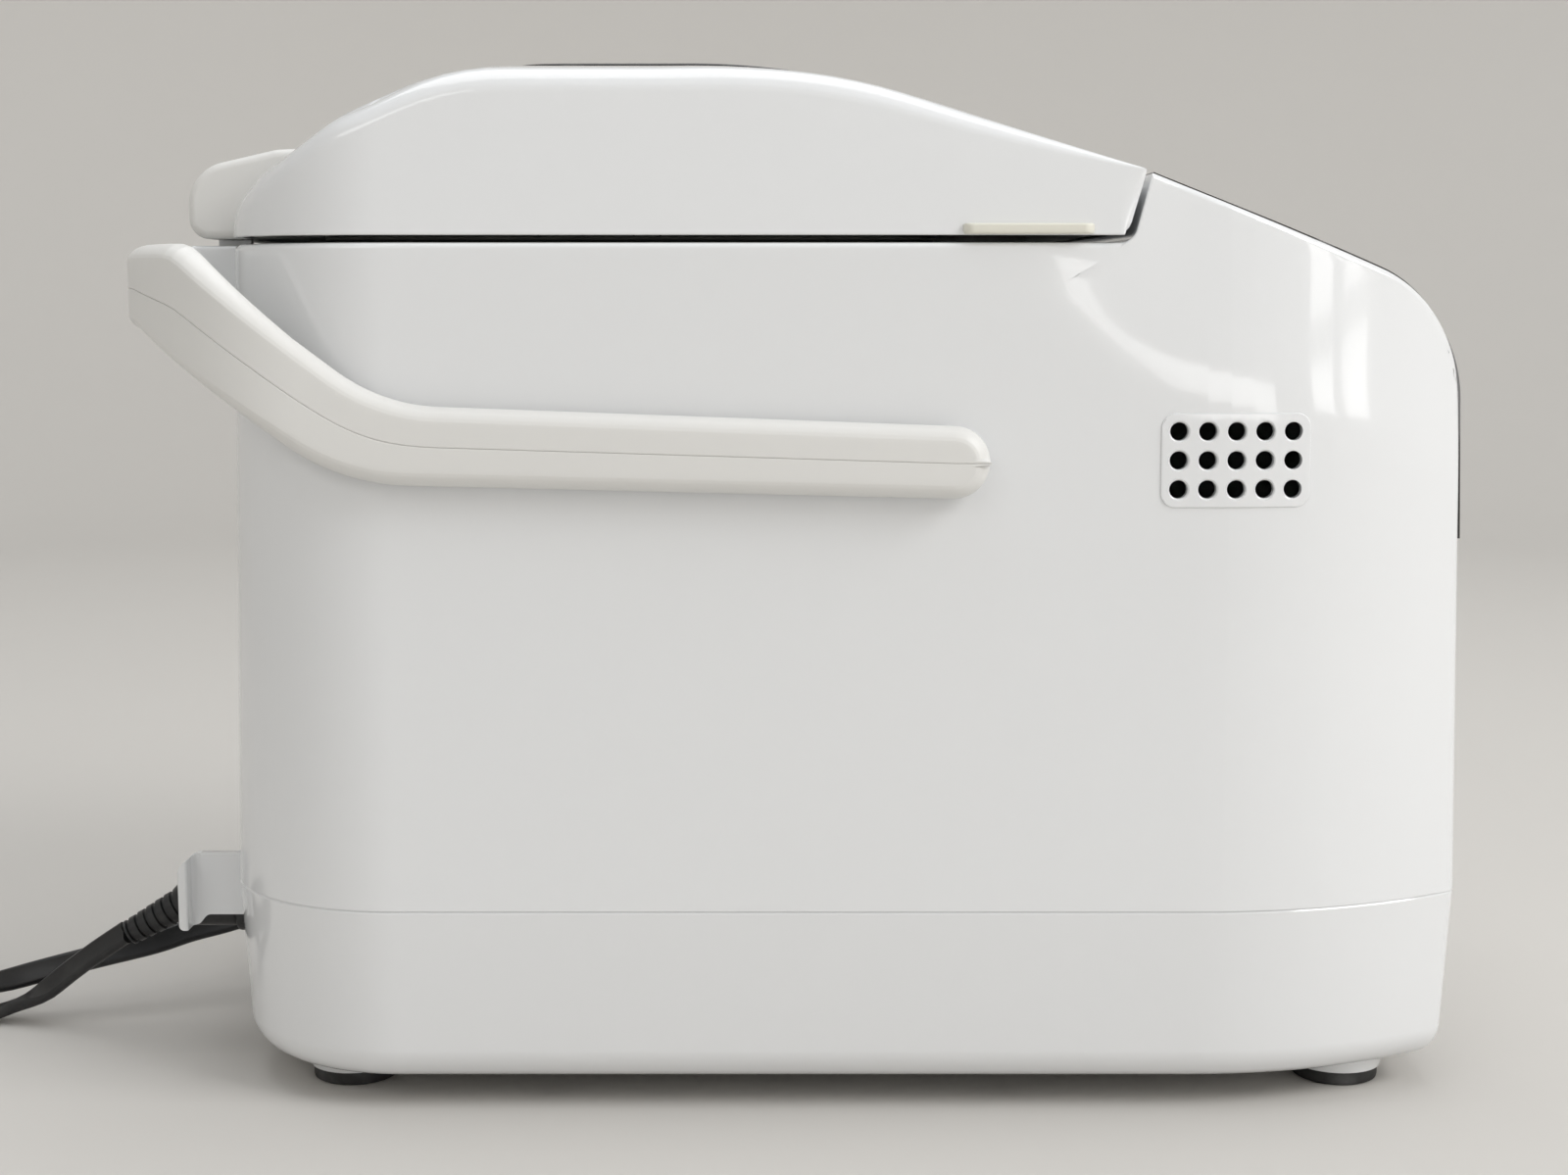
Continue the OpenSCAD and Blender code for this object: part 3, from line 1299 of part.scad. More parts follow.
// A flat tube swept through a list of points
module cord_tube(route) {
    n = len(route);
    function along(i) = unit(route[min(i + 1, n - 1)] - route[max(i - 1, 0)]);
    function across(i) = unit(cross(along(i), [0, 0, 1]));
    function above(i) = cross(across(i), along(i));
    rings = [for (i = [0:n - 1]) for (k = [0:cord_sides - 1])
        let (a = 360 * (k + 0.5) / cord_sides)
        route[i] + across(i) * cos(a) * cord_w / 2 + above(i) * sin(a) * cord_h / 2];
    walls = [for (i = [0:n - 2]) for (k = [0:cord_sides - 1])
        let (a = i * cord_sides + k, b = i * cord_sides + (k + 1) % cord_sides)
        each [[a, b, b + cord_sides], [a, b + cord_sides, a + cord_sides]]];
    polyhedron(rings, concat(walls, [[for (k = [cord_sides - 1:-1:0]) k]],
                             [[for (k = [0:cord_sides - 1]) (n - 1) * cord_sides + k]]), convexity = 6);
}

module cord_relief() {
    color([0.07, 0.07, 0.07]) union() {
        rod_y(0, relief_z, relief_r + 2, back_y - base_lean - wall - 4, back_y - base_lean - wall);
        rod_y(0, relief_z, relief_r, back_y - base_lean - wall - 1, back_y + 1);
        translate([0, relief_tip_y, relief_z]) rotate([90, 0, 0])
            cylinder(r1 = cord_w / 2 + 0.7, r2 = relief_r, h = relief_tip_y - back_y - 1 + eps);
    }
}

module power_cord() { color([0.06, 0.06, 0.06]) cord_tube(cord_out); }
module cord_return() { color([0.06, 0.06, 0.06]) cord_tube(cord_back); }

module cord_coil() {
    color([0.06, 0.06, 0.06]) translate([coil_x, coil_y, coil_foot_z]) rotate_extrude()
        translate([coil_mid_r - coil_half, 0]) square([2 * coil_half, 2 * cord_h]);
}

module coil_tie() {
    inner = coil_mid_r - coil_half;
    color([0.1, 0.1, 0.1]) translate([coil_x, coil_y, 0]) difference() {
        box(-tie_w / 2, tie_w / 2, inner - 1, inner + 2 * coil_half + 1, 0, coil_foot_z + 2 * cord_h + 0.8);
        difference() {
            translate([0, 0, coil_foot_z]) cylinder(r = inner + 2 * coil_half, h = 2 * cord_h);
            cylinder(r = inner, h = 50);
        }
    }
}

// Moulded plug, parked with its prongs in two slots in the base's back wall
module plug_body() {
    y0 = back_y + plug_gap;
    color([0.08, 0.08, 0.08]) union() {
        along_y(rect(12, 8, 6, plug_x, plug_z), y0, y0 + 5);
        along_y(rect(11, 7, 6, plug_x, plug_z), y0 + 5 - eps, y0 + plug_l);
        translate([plug_x, y0 + plug_l - eps, plug_z]) rotate([-90 - 22, 0, 0]) translate([0, 0, -1.5])
            cylinder(r1 = 6, r2 = cord_w / 2 + 0.5, h = plug_relief_l);
    }
}

module plug_prongs() {
    color([0.8, 0.8, 0.8]) prongs(0, back_y - prong_l + plug_gap, back_y + plug_gap);
}

upper_body();
base_case();
rubber_feet();
case_screws();
chassis_plate();
lid_shell();
lid_window();
lid_frame();
lid_inner_cover();
lid_inner_glass();
lid_seal();
hinge_cover();
hinge_bracket();
hinge_pins();
carry_handle();
handle_pivots();
control_panel();
lcd_lens();
lcd_module();
control_pcb();
button("menu");  // menu_button
button("crust");  // crust_button
button("timer_up");  // timer_up_button
button("timer_down");  // timer_down_button
button("stop");  // stop_button
button("start");  // start_button
baking_chamber();
chamber_rim();
heater_element();
heater_clips();
temperature_sensor();
thermal_fuse();
pan_socket();
bread_pan();
pan_base();
pan_bail();
paddle_shaft();
paddle_dog();
kneading_paddle();
bearing_housing();
bearing_bushes();
drive_shaft();
drive_pulley();
drive_dog();
drive_belt();
motor_stator();
motor_frame();
motor_mounts();
motor_rotor();
motor_pulley();
motor_fan();
motor_capacitor();
power_pcb();
cord_relief();
power_cord();
cord_coil();
cord_return();
coil_tie();
plug_body();
plug_prongs();
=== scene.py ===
"""Dresses the bread machine's frame: smooth shells, cord, finishes, lights and camera.

Sizes are millimetres in the machine's frame (+Z up, -Y the console) until a piece is finished, when its mesh
is scaled to metres. Every piece's object sits at the origin and its place is in its mesh.
"""

import json
import logging
import math
from dataclasses import dataclass, field
from enum import Enum
from typing import Callable, Iterable, Sequence

import bmesh
import bpy
from mathutils import Euler, Matrix, Vector

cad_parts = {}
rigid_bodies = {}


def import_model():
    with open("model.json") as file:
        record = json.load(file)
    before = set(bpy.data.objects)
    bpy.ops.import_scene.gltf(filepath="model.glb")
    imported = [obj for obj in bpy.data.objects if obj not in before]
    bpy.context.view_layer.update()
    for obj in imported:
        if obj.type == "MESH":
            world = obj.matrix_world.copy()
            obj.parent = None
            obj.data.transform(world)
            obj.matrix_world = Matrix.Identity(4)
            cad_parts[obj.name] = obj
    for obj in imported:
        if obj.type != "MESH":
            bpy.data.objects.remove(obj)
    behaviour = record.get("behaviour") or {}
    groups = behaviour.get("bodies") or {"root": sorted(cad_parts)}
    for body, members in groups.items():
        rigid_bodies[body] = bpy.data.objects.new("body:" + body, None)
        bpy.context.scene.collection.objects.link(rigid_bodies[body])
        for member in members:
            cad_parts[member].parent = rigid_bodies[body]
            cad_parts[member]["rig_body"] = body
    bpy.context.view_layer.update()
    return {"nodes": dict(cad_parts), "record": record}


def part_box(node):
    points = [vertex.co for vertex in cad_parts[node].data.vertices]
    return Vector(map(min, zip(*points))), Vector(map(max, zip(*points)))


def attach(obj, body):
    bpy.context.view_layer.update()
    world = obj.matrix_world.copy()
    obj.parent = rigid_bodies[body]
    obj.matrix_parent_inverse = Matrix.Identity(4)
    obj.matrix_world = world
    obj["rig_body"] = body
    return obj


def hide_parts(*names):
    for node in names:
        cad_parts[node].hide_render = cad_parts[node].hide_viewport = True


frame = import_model()

MM = 0.001
LOG = logging.getLogger("bread_machine")
Point2 = tuple[float, float]
Rule = Callable[[Vector], Vector]


def cad_box(node: str) -> tuple[Vector, Vector]:
    """Lowest and highest corners of a CAD node, in millimetres.

    Args:
        node: The node's name.

    Returns:
        The two corners.
    """
    low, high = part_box(node)
    return low / MM, high / MM


# ---------------------------------------------------------------- outlines and solids


class Axis(Enum):
    """The axis that a prism or a rod runs along."""

    X = "x"
    Y = "y"
    Z = "z"

    def place(self, across: float, up: float, along: float) -> Vector:
        """The point with those two section coordinates at that place along the axis."""
        if self is Axis.X:
            return Vector((along, across, up))
        if self is Axis.Y:
            return Vector((across, along, up))
        return Vector((across, up, along))


@dataclass(frozen=True)
class Outline:
    """A closed anticlockwise outline whose corners are (across, up, radius)."""

    corners: tuple[tuple[float, float, float], ...]

    @classmethod
    def rect(cls, half_x: float, half_y: float, radius: float, x: float = 0.0, y: float = 0.0) -> "Outline":
        """A rectangle with round corners about a centre."""
        return cls(((x + half_x, y - half_y, radius), (x + half_x, y + half_y, radius),
                    (x - half_x, y + half_y, radius), (x - half_x, y - half_y, radius)))

    def _around(self, index: int) -> tuple[Vector, Vector, Vector]:
        """The corner before, the corner itself and the corner after, as flat vectors."""
        count = len(self.corners)
        return tuple(Vector(self.corners[(index + k) % count][:2]) for k in (-1, 0, 1))

    def grown(self, distance: float) -> "Outline":
        """The outline moved outwards by a distance, with its corner radii kept concentric."""
        corners = []
        for index, (_, _, radius) in enumerate(self.corners):
            before, here, after = self._around(index)
            arrive = (here - before).normalized()
            leave = (after - here).normalized()
            normal_in = Vector((arrive.y, -arrive.x))
            normal_out = Vector((leave.y, -leave.x))
            moved = here + (normal_in + normal_out) * distance / (1 + normal_in.dot(normal_out))
            turn = distance if arrive.cross(leave) > 0 else -distance
            corners.append((moved.x, moved.y, 0.0 if radius == 0 else max(0.3, radius + turn)))
        return Outline(tuple(corners))._fitted()

    def _fitted(self) -> "Outline":
        """The outline with the radii cut down where two neighbouring arcs would overlap."""
        radii = [c[2] for c in self.corners]
        reach = []
        for index in range(len(self.corners)):
            before, here, after = self._around(index)
            reach.append(1 / math.tan((before - here).angle(after - here) / 2))
        for index in range(len(self.corners)):
            after = (index + 1) % len(self.corners)
            length = (Vector(self.corners[after][:2]) - Vector(self.corners[index][:2])).length
            used = [radii[index] * reach[index], radii[after] * reach[after]]
            if sum(used) > 0.98 * length:
                larger = index if used[0] > used[1] else after
                radii[larger] = (0.98 * length - min(used)) / reach[larger]
        return Outline(tuple((c[0], c[1], r) for c, r in zip(self.corners, radii)))

    def points(self, step: float = 5.0) -> list[Point2]:
        """The outline's points, with an arc at each corner.

        Args:
            step: The largest turn between two points of an arc, in degrees.

        Returns:
            The points in order.
        """
        found: list[Point2] = []
        for index, (_, _, radius) in enumerate(self.corners):
            before, here, after = self._around(index)
            if radius <= 0:
                found.append((here.x, here.y))
                continue
            back, ahead = (before - here).normalized(), (after - here).normalized()
            half = back.angle(ahead) / 2
            middle = here + (back + ahead).normalized() * radius / math.sin(half)
            start = here + back * radius / math.tan(half) - middle
            turn = (math.pi - 2 * half) * (1 if back.cross(ahead) < 0 else -1)
            steps = max(1, math.ceil(math.degrees(abs(turn)) / step - 1e-6))
            for k in range(steps + 1):
                spoke = start.copy()
                spoke.rotate(Matrix.Rotation(turn * k / steps, 2))
                found.append((middle.x + spoke.x, middle.y + spoke.y))
        return found


class Solid:
    """A closed mesh that is built, cut and rounded before it becomes a piece."""

    def __init__(self) -> None:
        """Starts with an empty mesh."""
        self.bm = bmesh.new()

    # ---- making ----

    @classmethod
    def loft(cls, rings: Sequence[Sequence[Vector]], closed: bool = False) -> "Solid":
        """A skin through rings of equal length, capped at both ends.

        Args:
            rings: The rings in order, each a list of points.
            closed: Whether the last ring joins the first, as on a full turn.

        Returns:
            The solid.
        """
        solid = cls()
        bm = solid.bm
        verts = [bm.verts.new(p) for p in rings[0]]
        first = verts
        edges = [bm.edges.new((verts[k - 1], verts[k])) for k in range(len(verts))]
        if not closed:
            bmesh.ops.contextual_create(bm, geom=edges)
        for ring in rings[1:]:
            grown = bmesh.ops.extrude_edge_only(bm, edges=edges)["geom"]
            fresh = {g for g in grown if isinstance(g, bmesh.types.BMVert)}
            verts = [next(e.other_vert(v) for e in v.link_edges if e.other_vert(v) in fresh) for v in verts]
            for vert, place in zip(verts, ring):
                vert.co = place
            edges = [bm.edges.get((verts[k - 1], verts[k])) for k in range(len(verts))]
        if closed:
            last = edges
            start = [bm.edges.get((first[k - 1], first[k])) for k in range(len(first))]
            bmesh.ops.bridge_loops(bm, edges=last + start)
        else:
            bmesh.ops.contextual_create(bm, geom=edges)
        bmesh.ops.recalc_face_normals(bm, faces=bm.faces)
        return solid

    @classmethod
    def prism(cls, outline: Outline, axis: Axis, start: float, end: float, step: float = 5.0) -> "Solid":
        """An outline drawn out along an axis."""
        points = outline.points(step)
        return cls.loft([[axis.place(x, y, along) for x, y in points] for along in (start, end)])

    @classmethod
    def box(cls, low: Sequence[float], high: Sequence[float]) -> "Solid":
        """A box between two corners."""
        solid = cls()
        bmesh.ops.create_cube(solid.bm, size=1.0)
        low, high = Vector(low), Vector(high)
        bmesh.ops.scale(solid.bm, vec=high - low, verts=solid.bm.verts)
        bmesh.ops.translate(solid.bm, vec=(low + high) / 2, verts=solid.bm.verts)
        return solid

    @classmethod
    def spun(cls, profile: Sequence[Point2], centre: Sequence[float], axis: Sequence[float],
             steps: int = 64) -> "Solid":
        """A profile of (radius, height) turned once about an axis.

        Args:
            profile: Points from one end of the axis to the other.
            centre: The point at height 0.
            axis: The direction of the axis.
            steps: The number of steps round.

        Returns:
            The solid.
        """
        solid = cls()
        bm = solid.bm
        verts = [bm.verts.new((radius, 0.0, height)) for radius, height in profile]
        edges = [bm.edges.new(pair) for pair in zip(verts, verts[1:])]
        bmesh.ops.spin(bm, geom=verts + edges, cent=(0, 0, 0), axis=(0, 0, 1), angle=math.tau,
                       steps=steps, use_merge=True)
        bmesh.ops.remove_doubles(bm, verts=bm.verts, dist=1e-4)
        bmesh.ops.recalc_face_normals(bm, faces=bm.faces)
        turn = Vector((0, 0, 1)).rotation_difference(Vector(axis)).to_matrix().to_4x4()
        bmesh.ops.transform(bm, matrix=Matrix.Translation(Vector(centre)) @ turn, verts=bm.verts)
        return solid

    @classmethod
    def from_node(cls, node: str) -> "Solid":
        """A copy of a CAD node with its loose triangles merged and its flat faces joined."""
        solid = cls()
        solid.bm.from_mesh(frame["nodes"][node].data)
        bmesh.ops.scale(solid.bm, vec=(1 / MM,) * 3, verts=solid.bm.verts)
        bmesh.ops.remove_doubles(solid.bm, verts=solid.bm.verts, dist=2e-3)
        bmesh.ops.dissolve_limit(solid.bm, angle_limit=math.radians(0.4), verts=solid.bm.verts,
                                 edges=solid.bm.edges)
        return solid

    # ---- combining ----

    def _object(self) -> bpy.types.Object:
        """A short-lived object that holds this mesh."""
        mesh = bpy.data.meshes.new("work")
        self.bm.to_mesh(mesh)
        item = bpy.data.objects.new("work", mesh)
        bpy.context.scene.collection.objects.link(item)
        return item

    def _modified(self, kind: str, settings: dict[str, object], *helpers: bpy.types.Object) -> "Solid":
        """This solid after one modifier; the helper objects are removed with it."""
        item = self._object()
        modifier = item.modifiers.new("work", kind)
        for key, value in settings.items():
            setattr(modifier, key, value)
        bpy.context.view_layer.update()
        mesh = bpy.data.meshes.new_from_object(item.evaluated_get(bpy.context.evaluated_depsgraph_get()))
        self.bm.free()
        self.bm = bmesh.new()
        self.bm.from_mesh(mesh)
        bpy.data.meshes.remove(mesh)
        for used in (item, *helpers):
            data = used.data
            bpy.data.objects.remove(used)
            bpy.data.meshes.remove(data)
        return self

    def _combine(self, other: "Solid", operation: str) -> "Solid":
        """This solid combined with another by one boolean operation."""
        helper = other._object()
        return self._modified("BOOLEAN", {"operation": operation, "solver": "MANIFOLD", "object": helper}, helper)

    def cut(self, *others: "Solid") -> "Solid":
        """Takes other solids out of this one."""
        for other in others:
            self._combine(other, "DIFFERENCE")
        return self

    def within(self, *others: "Solid") -> "Solid":
        """Keeps only what lies inside each of the other solids."""
        for other in others:
            self._combine(other, "INTERSECT")
        return self

    def joined(self, *others: "Solid") -> "Solid":
        """Adds other solids as shells of the same mesh."""
        for other in others:
            mesh = bpy.data.meshes.new("work")
            other.bm.to_mesh(mesh)
            self.bm.from_mesh(mesh)
            bpy.data.meshes.remove(mesh)
        return self

    # ---- shaping ----

    def rounded(self, width: float, segments: int = 3, angle: float = 30.0,
                where: Callable[[bmesh.types.BMEdge], bool] | None = None, clamp: bool = False) -> "Solid":
        """Rounds the convex edges that are sharper than an angle.

        Args:
            width: How far the rounding reaches from the edge.
            segments: The number of steps across it.
            angle: The least angle between the faces, in degrees.
            where: A test that an edge passes to be rounded.
            clamp: Whether the rounding gives way where edges are short.

        Returns:
            This solid.
        """
        bm = self.bm
        bmesh.ops.remove_doubles(bm, verts=bm.verts, dist=1e-3)
        limit = math.radians(angle)
        edges = [e for e in bm.edges
                 if e.is_manifold and e.is_convex and e.calc_face_angle(0.0) > limit and (where is None or where(e))]
        bmesh.ops.bevel(bm, geom=edges, offset=width, offset_type="OFFSET", segments=segments, profile=0.5,
                        affect="EDGES", clamp_overlap=clamp, material=-1, loop_slide=True)
        bmesh.ops.remove_doubles(bm, verts=bm.verts, dist=1e-3)
        return self

    def feathered(self, width: Callable[[Vector], float], segments: int = 4, angle: float = 22.0) -> "Solid":
        """Rounds the convex edges by a width that changes from place to place.

        Args:
            width: The width at a point.
            segments: The number of steps across the rounding.
            angle: The least angle between the faces, in degrees.

        Returns:
            This solid.
        """
        bm = self.bm
        bmesh.ops.remove_doubles(bm, verts=bm.verts, dist=1e-3)
        limit = math.radians(angle)
        weight = bm.edges.layers.float.new("bevel_weight_edge")
        widths = {edge: width((edge.verts[0].co + edge.verts[1].co) / 2) for edge in bm.edges
                  if edge.is_manifold and edge.is_convex and edge.calc_face_angle(0.0) > limit}
        largest = max(widths.values())
        for edge, wanted in widths.items():
            edge[weight] = wanted / largest
        self._modified("BEVEL", {"limit_method": "WEIGHT", "width": largest, "segments": segments,
                                 "use_clamp_overlap": False, "profile": 0.5})
        bmesh.ops.remove_doubles(self.bm, verts=self.bm.verts, dist=1e-3)
        return self

    def sliced(self, axis: Axis, places: Iterable[float]) -> "Solid":
        """Adds cross-cuts at planes along an axis, so that a rule can bend the faces between them."""
        bm = self.bm
        for place in places:
            bmesh.ops.bisect_plane(bm, geom=bm.verts[:] + bm.edges[:] + bm.faces[:], dist=1e-4,
                                   plane_co=axis.place(0, 0, place), plane_no=axis.place(0, 0, 1))
        return self

    def trimmed(self, foot: float) -> "Solid":
        """Takes away what is below a height and closes the opening."""
        bm = self.bm
        cut = bmesh.ops.bisect_plane(bm, geom=bm.verts[:] + bm.edges[:] + bm.faces[:], dist=1e-4,
                                     plane_co=(0, 0, foot), plane_no=(0, 0, 1), clear_inner=True)
        edges = [g for g in cut["geom_cut"] if isinstance(g, bmesh.types.BMEdge) and g.is_boundary]
        bmesh.ops.contextual_create(bm, geom=edges)
        bmesh.ops.recalc_face_normals(bm, faces=bm.faces)
        return self

    def moved(self, rule: Rule) -> "Solid":
        """Moves every vertex by a rule."""
        for vert in self.bm.verts:
            vert.co = rule(vert.co.copy())
        return self

    def turned(self, matrix: Matrix) -> "Solid":
        """Places the solid by a matrix."""
        bmesh.ops.transform(self.bm, matrix=matrix, verts=self.bm.verts)
        return self

    def mirrored(self) -> "Solid":
        """The same solid on the other side of the machine."""
        twin = Solid()
        twin.bm = self.bm.copy()
        bmesh.ops.scale(twin.bm, vec=(-1, 1, 1), verts=twin.bm.verts)
        bmesh.ops.reverse_faces(twin.bm, faces=twin.bm.faces)
        return twin

    # ---- finishing ----

    def piece(self, name: str, body: str, finish: "Finish", replaces: Sequence[str] = (),
              sharp: float = 32.0) -> bpy.types.Object:
        """Turns the solid into a piece of the machine.

        Args:
            name: The piece's name.
            body: The CAD body that it rides on.
            finish: Its finish.
            replaces: The CAD nodes that it stands for.
            sharp: The angle above which an edge stays sharp, in degrees.

        Returns:
            The piece's object.
        """
        mesh = bpy.data.meshes.new(name)
        bmesh.ops.scale(self.bm, vec=(MM,) * 3, verts=self.bm.verts)
        self.bm.to_mesh(mesh)
        self.bm.free()
        mesh.polygons.foreach_set("use_smooth", [True] * len(mesh.polygons))
        mesh.set_sharp_from_angle(angle=math.radians(sharp))
        item = bpy.data.objects.new(name, mesh)
        bpy.context.scene.collection.objects.link(item)
        weighted = item.modifiers.new("weighted", "WEIGHTED_NORMAL")
        weighted.keep_sharp = True
        item.data.materials.append(finish.material())
        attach(item, body)
        if replaces:
            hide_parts(*replaces)
        LOG.info("%s: %d faces on %s", name, len(mesh.polygons), body)
        return item


# ---------------------------------------------------------------- shader nodes


class Value:
    """A shader socket that takes part in arithmetic."""

    def __init__(self, shader: "Shader", socket: bpy.types.NodeSocket) -> None:
        """Wraps an output socket of a shader's tree."""
        self.shader = shader
        self.socket = socket

    def __add__(self, other: "Value | float") -> "Value":
        """Sum."""
        return self.shader.maths("ADD", self, other)

    __radd__ = __add__

    def __sub__(self, other: "Value | float") -> "Value":
        """Difference."""
        return self.shader.maths("SUBTRACT", self, other)

    def __rsub__(self, other: float) -> "Value":
        """Difference with a number first."""
        return self.shader.maths("SUBTRACT", other, self)

    def __mul__(self, other: "Value | float") -> "Value":
        """Product."""
        return self.shader.maths("MULTIPLY", self, other)

    __rmul__ = __mul__

    def above(self, limit: float, soft: float) -> "Value":
        """0 below a limit and 1 above it, with a soft step between."""
        ramp = self.shader.node("ShaderNodeMapRange", {"interpolation_type": "SMOOTHSTEP", "clamp": True},
                                {"Value": self, "From Min": limit - soft, "From Max": limit + soft})
        return ramp["Result"]


class Shader:
    """A material's node tree with a Principled shader."""

    def __init__(self, name: str) -> None:
        """Starts a material of that name."""
        self.material = bpy.data.materials.new(name)
        self.material.use_nodes = True
        self.tree = self.material.node_tree
        self.surface = self.tree.nodes["Principled BSDF"]
        self._coordinates: Value | None = None

    def node(self, kind: str, settings: dict[str, object], inputs: dict[str | int, object]) -> dict[str, Value]:
        """Adds a node.

        Args:
            kind: The node's type.
            settings: Its properties, set before its sockets.
            inputs: The value or link of each named or numbered input.

        Returns:
            Its enabled outputs by name.
        """
        made = self.tree.nodes.new(kind)
        for key, value in settings.items():
            setattr(made, key, value)
        for key, value in inputs.items():
            socket = self._input(made, key)
            if isinstance(value, Value):
                self.tree.links.new(value.socket, socket)
            else:
                socket.default_value = value
        return {s.name: Value(self, s) for s in made.outputs if s.enabled}

    @staticmethod
    def _input(made: bpy.types.Node, key: str | int) -> bpy.types.NodeSocket:
        """The enabled input of that name or number."""
        if isinstance(key, int):
            return made.inputs[key]
        return next(s for s in made.inputs if s.name == key and s.enabled)

    def maths(self, operation: str, *values: "Value | float") -> Value:
        """A Math node on values."""
        return self.node("ShaderNodeMath", {"operation": operation}, dict(enumerate(values)))["Value"]

    def coordinates(self) -> Value:
        """Object coordinates, which stay with the piece."""
        if self._coordinates is None:
            self._coordinates = self.node("ShaderNodeTexCoord", {}, {})["Object"]
        return self._coordinates

    def stretched(self, scale: Sequence[float]) -> Value:
        """Object coordinates scaled along each axis."""
        return self.node("ShaderNodeMapping", {}, {"Vector": self.coordinates(), "Scale": tuple(scale)})["Vector"]

    def noise(self, scale: float, detail: float = 3.0, along: Value | None = None) -> Value:
        """Noise between about 0 and 1, its scale in waves per metre."""
        return self.node("ShaderNodeTexNoise", {}, {"Vector": along or self.coordinates(), "Scale": scale,
                                                    "Detail": detail, "Roughness": 0.55})["Fac"]

    def specks(self, scale: float, size: float) -> Value:
        """1 inside small scattered specks and 0 elsewhere."""
        cells = self.node("ShaderNodeTexVoronoi", {"feature": "F1"},
                          {"Vector": self.coordinates(), "Scale": scale, "Randomness": 1.0})
        return 1.0 - cells["Distance"].above(size, size * 0.4)

    def blend(self, share: "Value | float", first: Sequence[float], second: Sequence[float]) -> Value:
        """A colour between two colours."""
        return self.node("ShaderNodeMix", {"data_type": "RGBA"},
                         {"Factor": share, "A": (*first, 1.0), "B": (*second, 1.0)})["Result"]

    def bump(self, height: Value, distance: float, strength: float = 1.0) -> None:
        """Raises the surface by a height, whose whole range is a distance in metres."""
        normal = self.node("ShaderNodeBump", {}, {"Height": height, "Distance": distance, "Strength": strength})
        self.link("Normal", normal["Normal"])

    def link(self, socket: str, value: Value) -> None:
        """Links a varying value to the Principled shader."""
        self.tree.links.new(value.socket, self.surface.inputs[socket])

    def set(self, **numbers: float | tuple) -> None:
        """Sets constant sockets of the Principled shader, with _ for a space in a name."""
        for key, value in numbers.items():
            self.surface.inputs[key.replace("_", " ")].default_value = value


def darker(colour: Sequence[float], share: float) -> tuple[float, ...]:
    """A colour with its light cut to a share."""
    return tuple(c * share for c in colour)


# ---------------------------------------------------------------- finishes


@dataclass(frozen=True)
class Finish:
    """A finish of one of the record's material slots."""

    slot: str
    colour: tuple[float, float, float]
    roughness: float = 0.4

    def material(self) -> bpy.types.Material:
        """The finish's material, made the first time it is asked for."""
        name = f"{self.slot}_{type(self).__name__.lower()}"
        known = bpy.data.materials.get(name)
        if known is not None:
            return known
        shader = Shader(name)
        shader.set(Base_Color=(*self.colour, 1.0), Roughness=self.roughness)
        self.dress(shader)
        return shader.material

    def dress(self, shader: Shader) -> None:
        """Adds the finish's own nodes."""
        raise NotImplementedError


@dataclass(frozen=True)
class MouldedPlastic(Finish):
    """Moulded plastic: faint flow marks in its gloss, a little dust and a very fine skin."""

    coat: float = 0.0
    skin: float = 0.00001
    grain: float = 900.0
    dust: float = 0.04

    def dress(self, shader: Shader) -> None:
        """Adds flow marks, dust specks and skin."""
        flow = shader.noise(9.0, 3.0)
        specks = shader.specks(260.0, 0.035)
        shader.link("Base Color", shader.blend(flow, darker(self.colour, 0.985), self.colour))
        shader.link("Roughness", self.roughness + flow * (self.roughness * 0.25) + specks * self.dust * 4.0)
        shader.set(Coat_Weight=self.coat, Coat_Roughness=0.04)
        shader.bump(shader.noise(self.grain, 2.0) + shader.noise(28.0, 1.0) * 0.5, self.skin)


@dataclass(frozen=True)
class Rubber(Finish):
    """Rubber or soft PVC: a fine matt skin with paler scuffs."""

    scuff: tuple[float, float, float] = (0.07, 0.07, 0.07)
    grain: float = 1800.0

    def dress(self, shader: Shader) -> None:
        """Adds scuffs and grain."""
        scuffs = shader.noise(70.0, 6.0).above(0.62, 0.12)
        shader.link("Base Color", shader.blend(scuffs, self.colour, self.scuff))
        shader.link("Roughness", self.roughness + scuffs * 0.15)
        shader.bump(shader.noise(self.grain, 2.0), 0.00003)


@dataclass(frozen=True)
class Metal(Finish):
    """Bare or plated metal with a grain that runs along one axis."""

    stretch: tuple[float, float, float] = (1.0, 1.0, 1.0)
    grain: float = 600.0
    depth: float = 0.000012
    stain: float = 0.9

    def dress(self, shader: Shader) -> None:
        """Adds grain and light stains."""
        grain = shader.noise(self.grain, 3.0, shader.stretched(self.stretch))
        stains = shader.noise(22.0, 4.0)
        shader.set(Metallic=1.0)
        shader.link("Base Color", shader.blend(stains, darker(self.colour, self.stain), self.colour))
        shader.link("Roughness", self.roughness * 0.75 + grain * (self.roughness * 0.5))
        shader.bump(grain, self.depth)


@dataclass(frozen=True)
class NonStick(Finish):
    """A dark non-stick coating with fine pale specks."""

    fleck: tuple[float, float, float] = (0.22, 0.21, 0.2)

    def dress(self, shader: Shader) -> None:
        """Adds specks and a pebbled skin."""
        specks = shader.specks(900.0, 0.16)
        shader.link("Base Color", shader.blend(specks, self.colour, self.fleck))
        shader.link("Roughness", self.roughness + shader.noise(60.0) * 0.12)
        shader.bump(shader.noise(1200.0, 2.0), 0.00003)


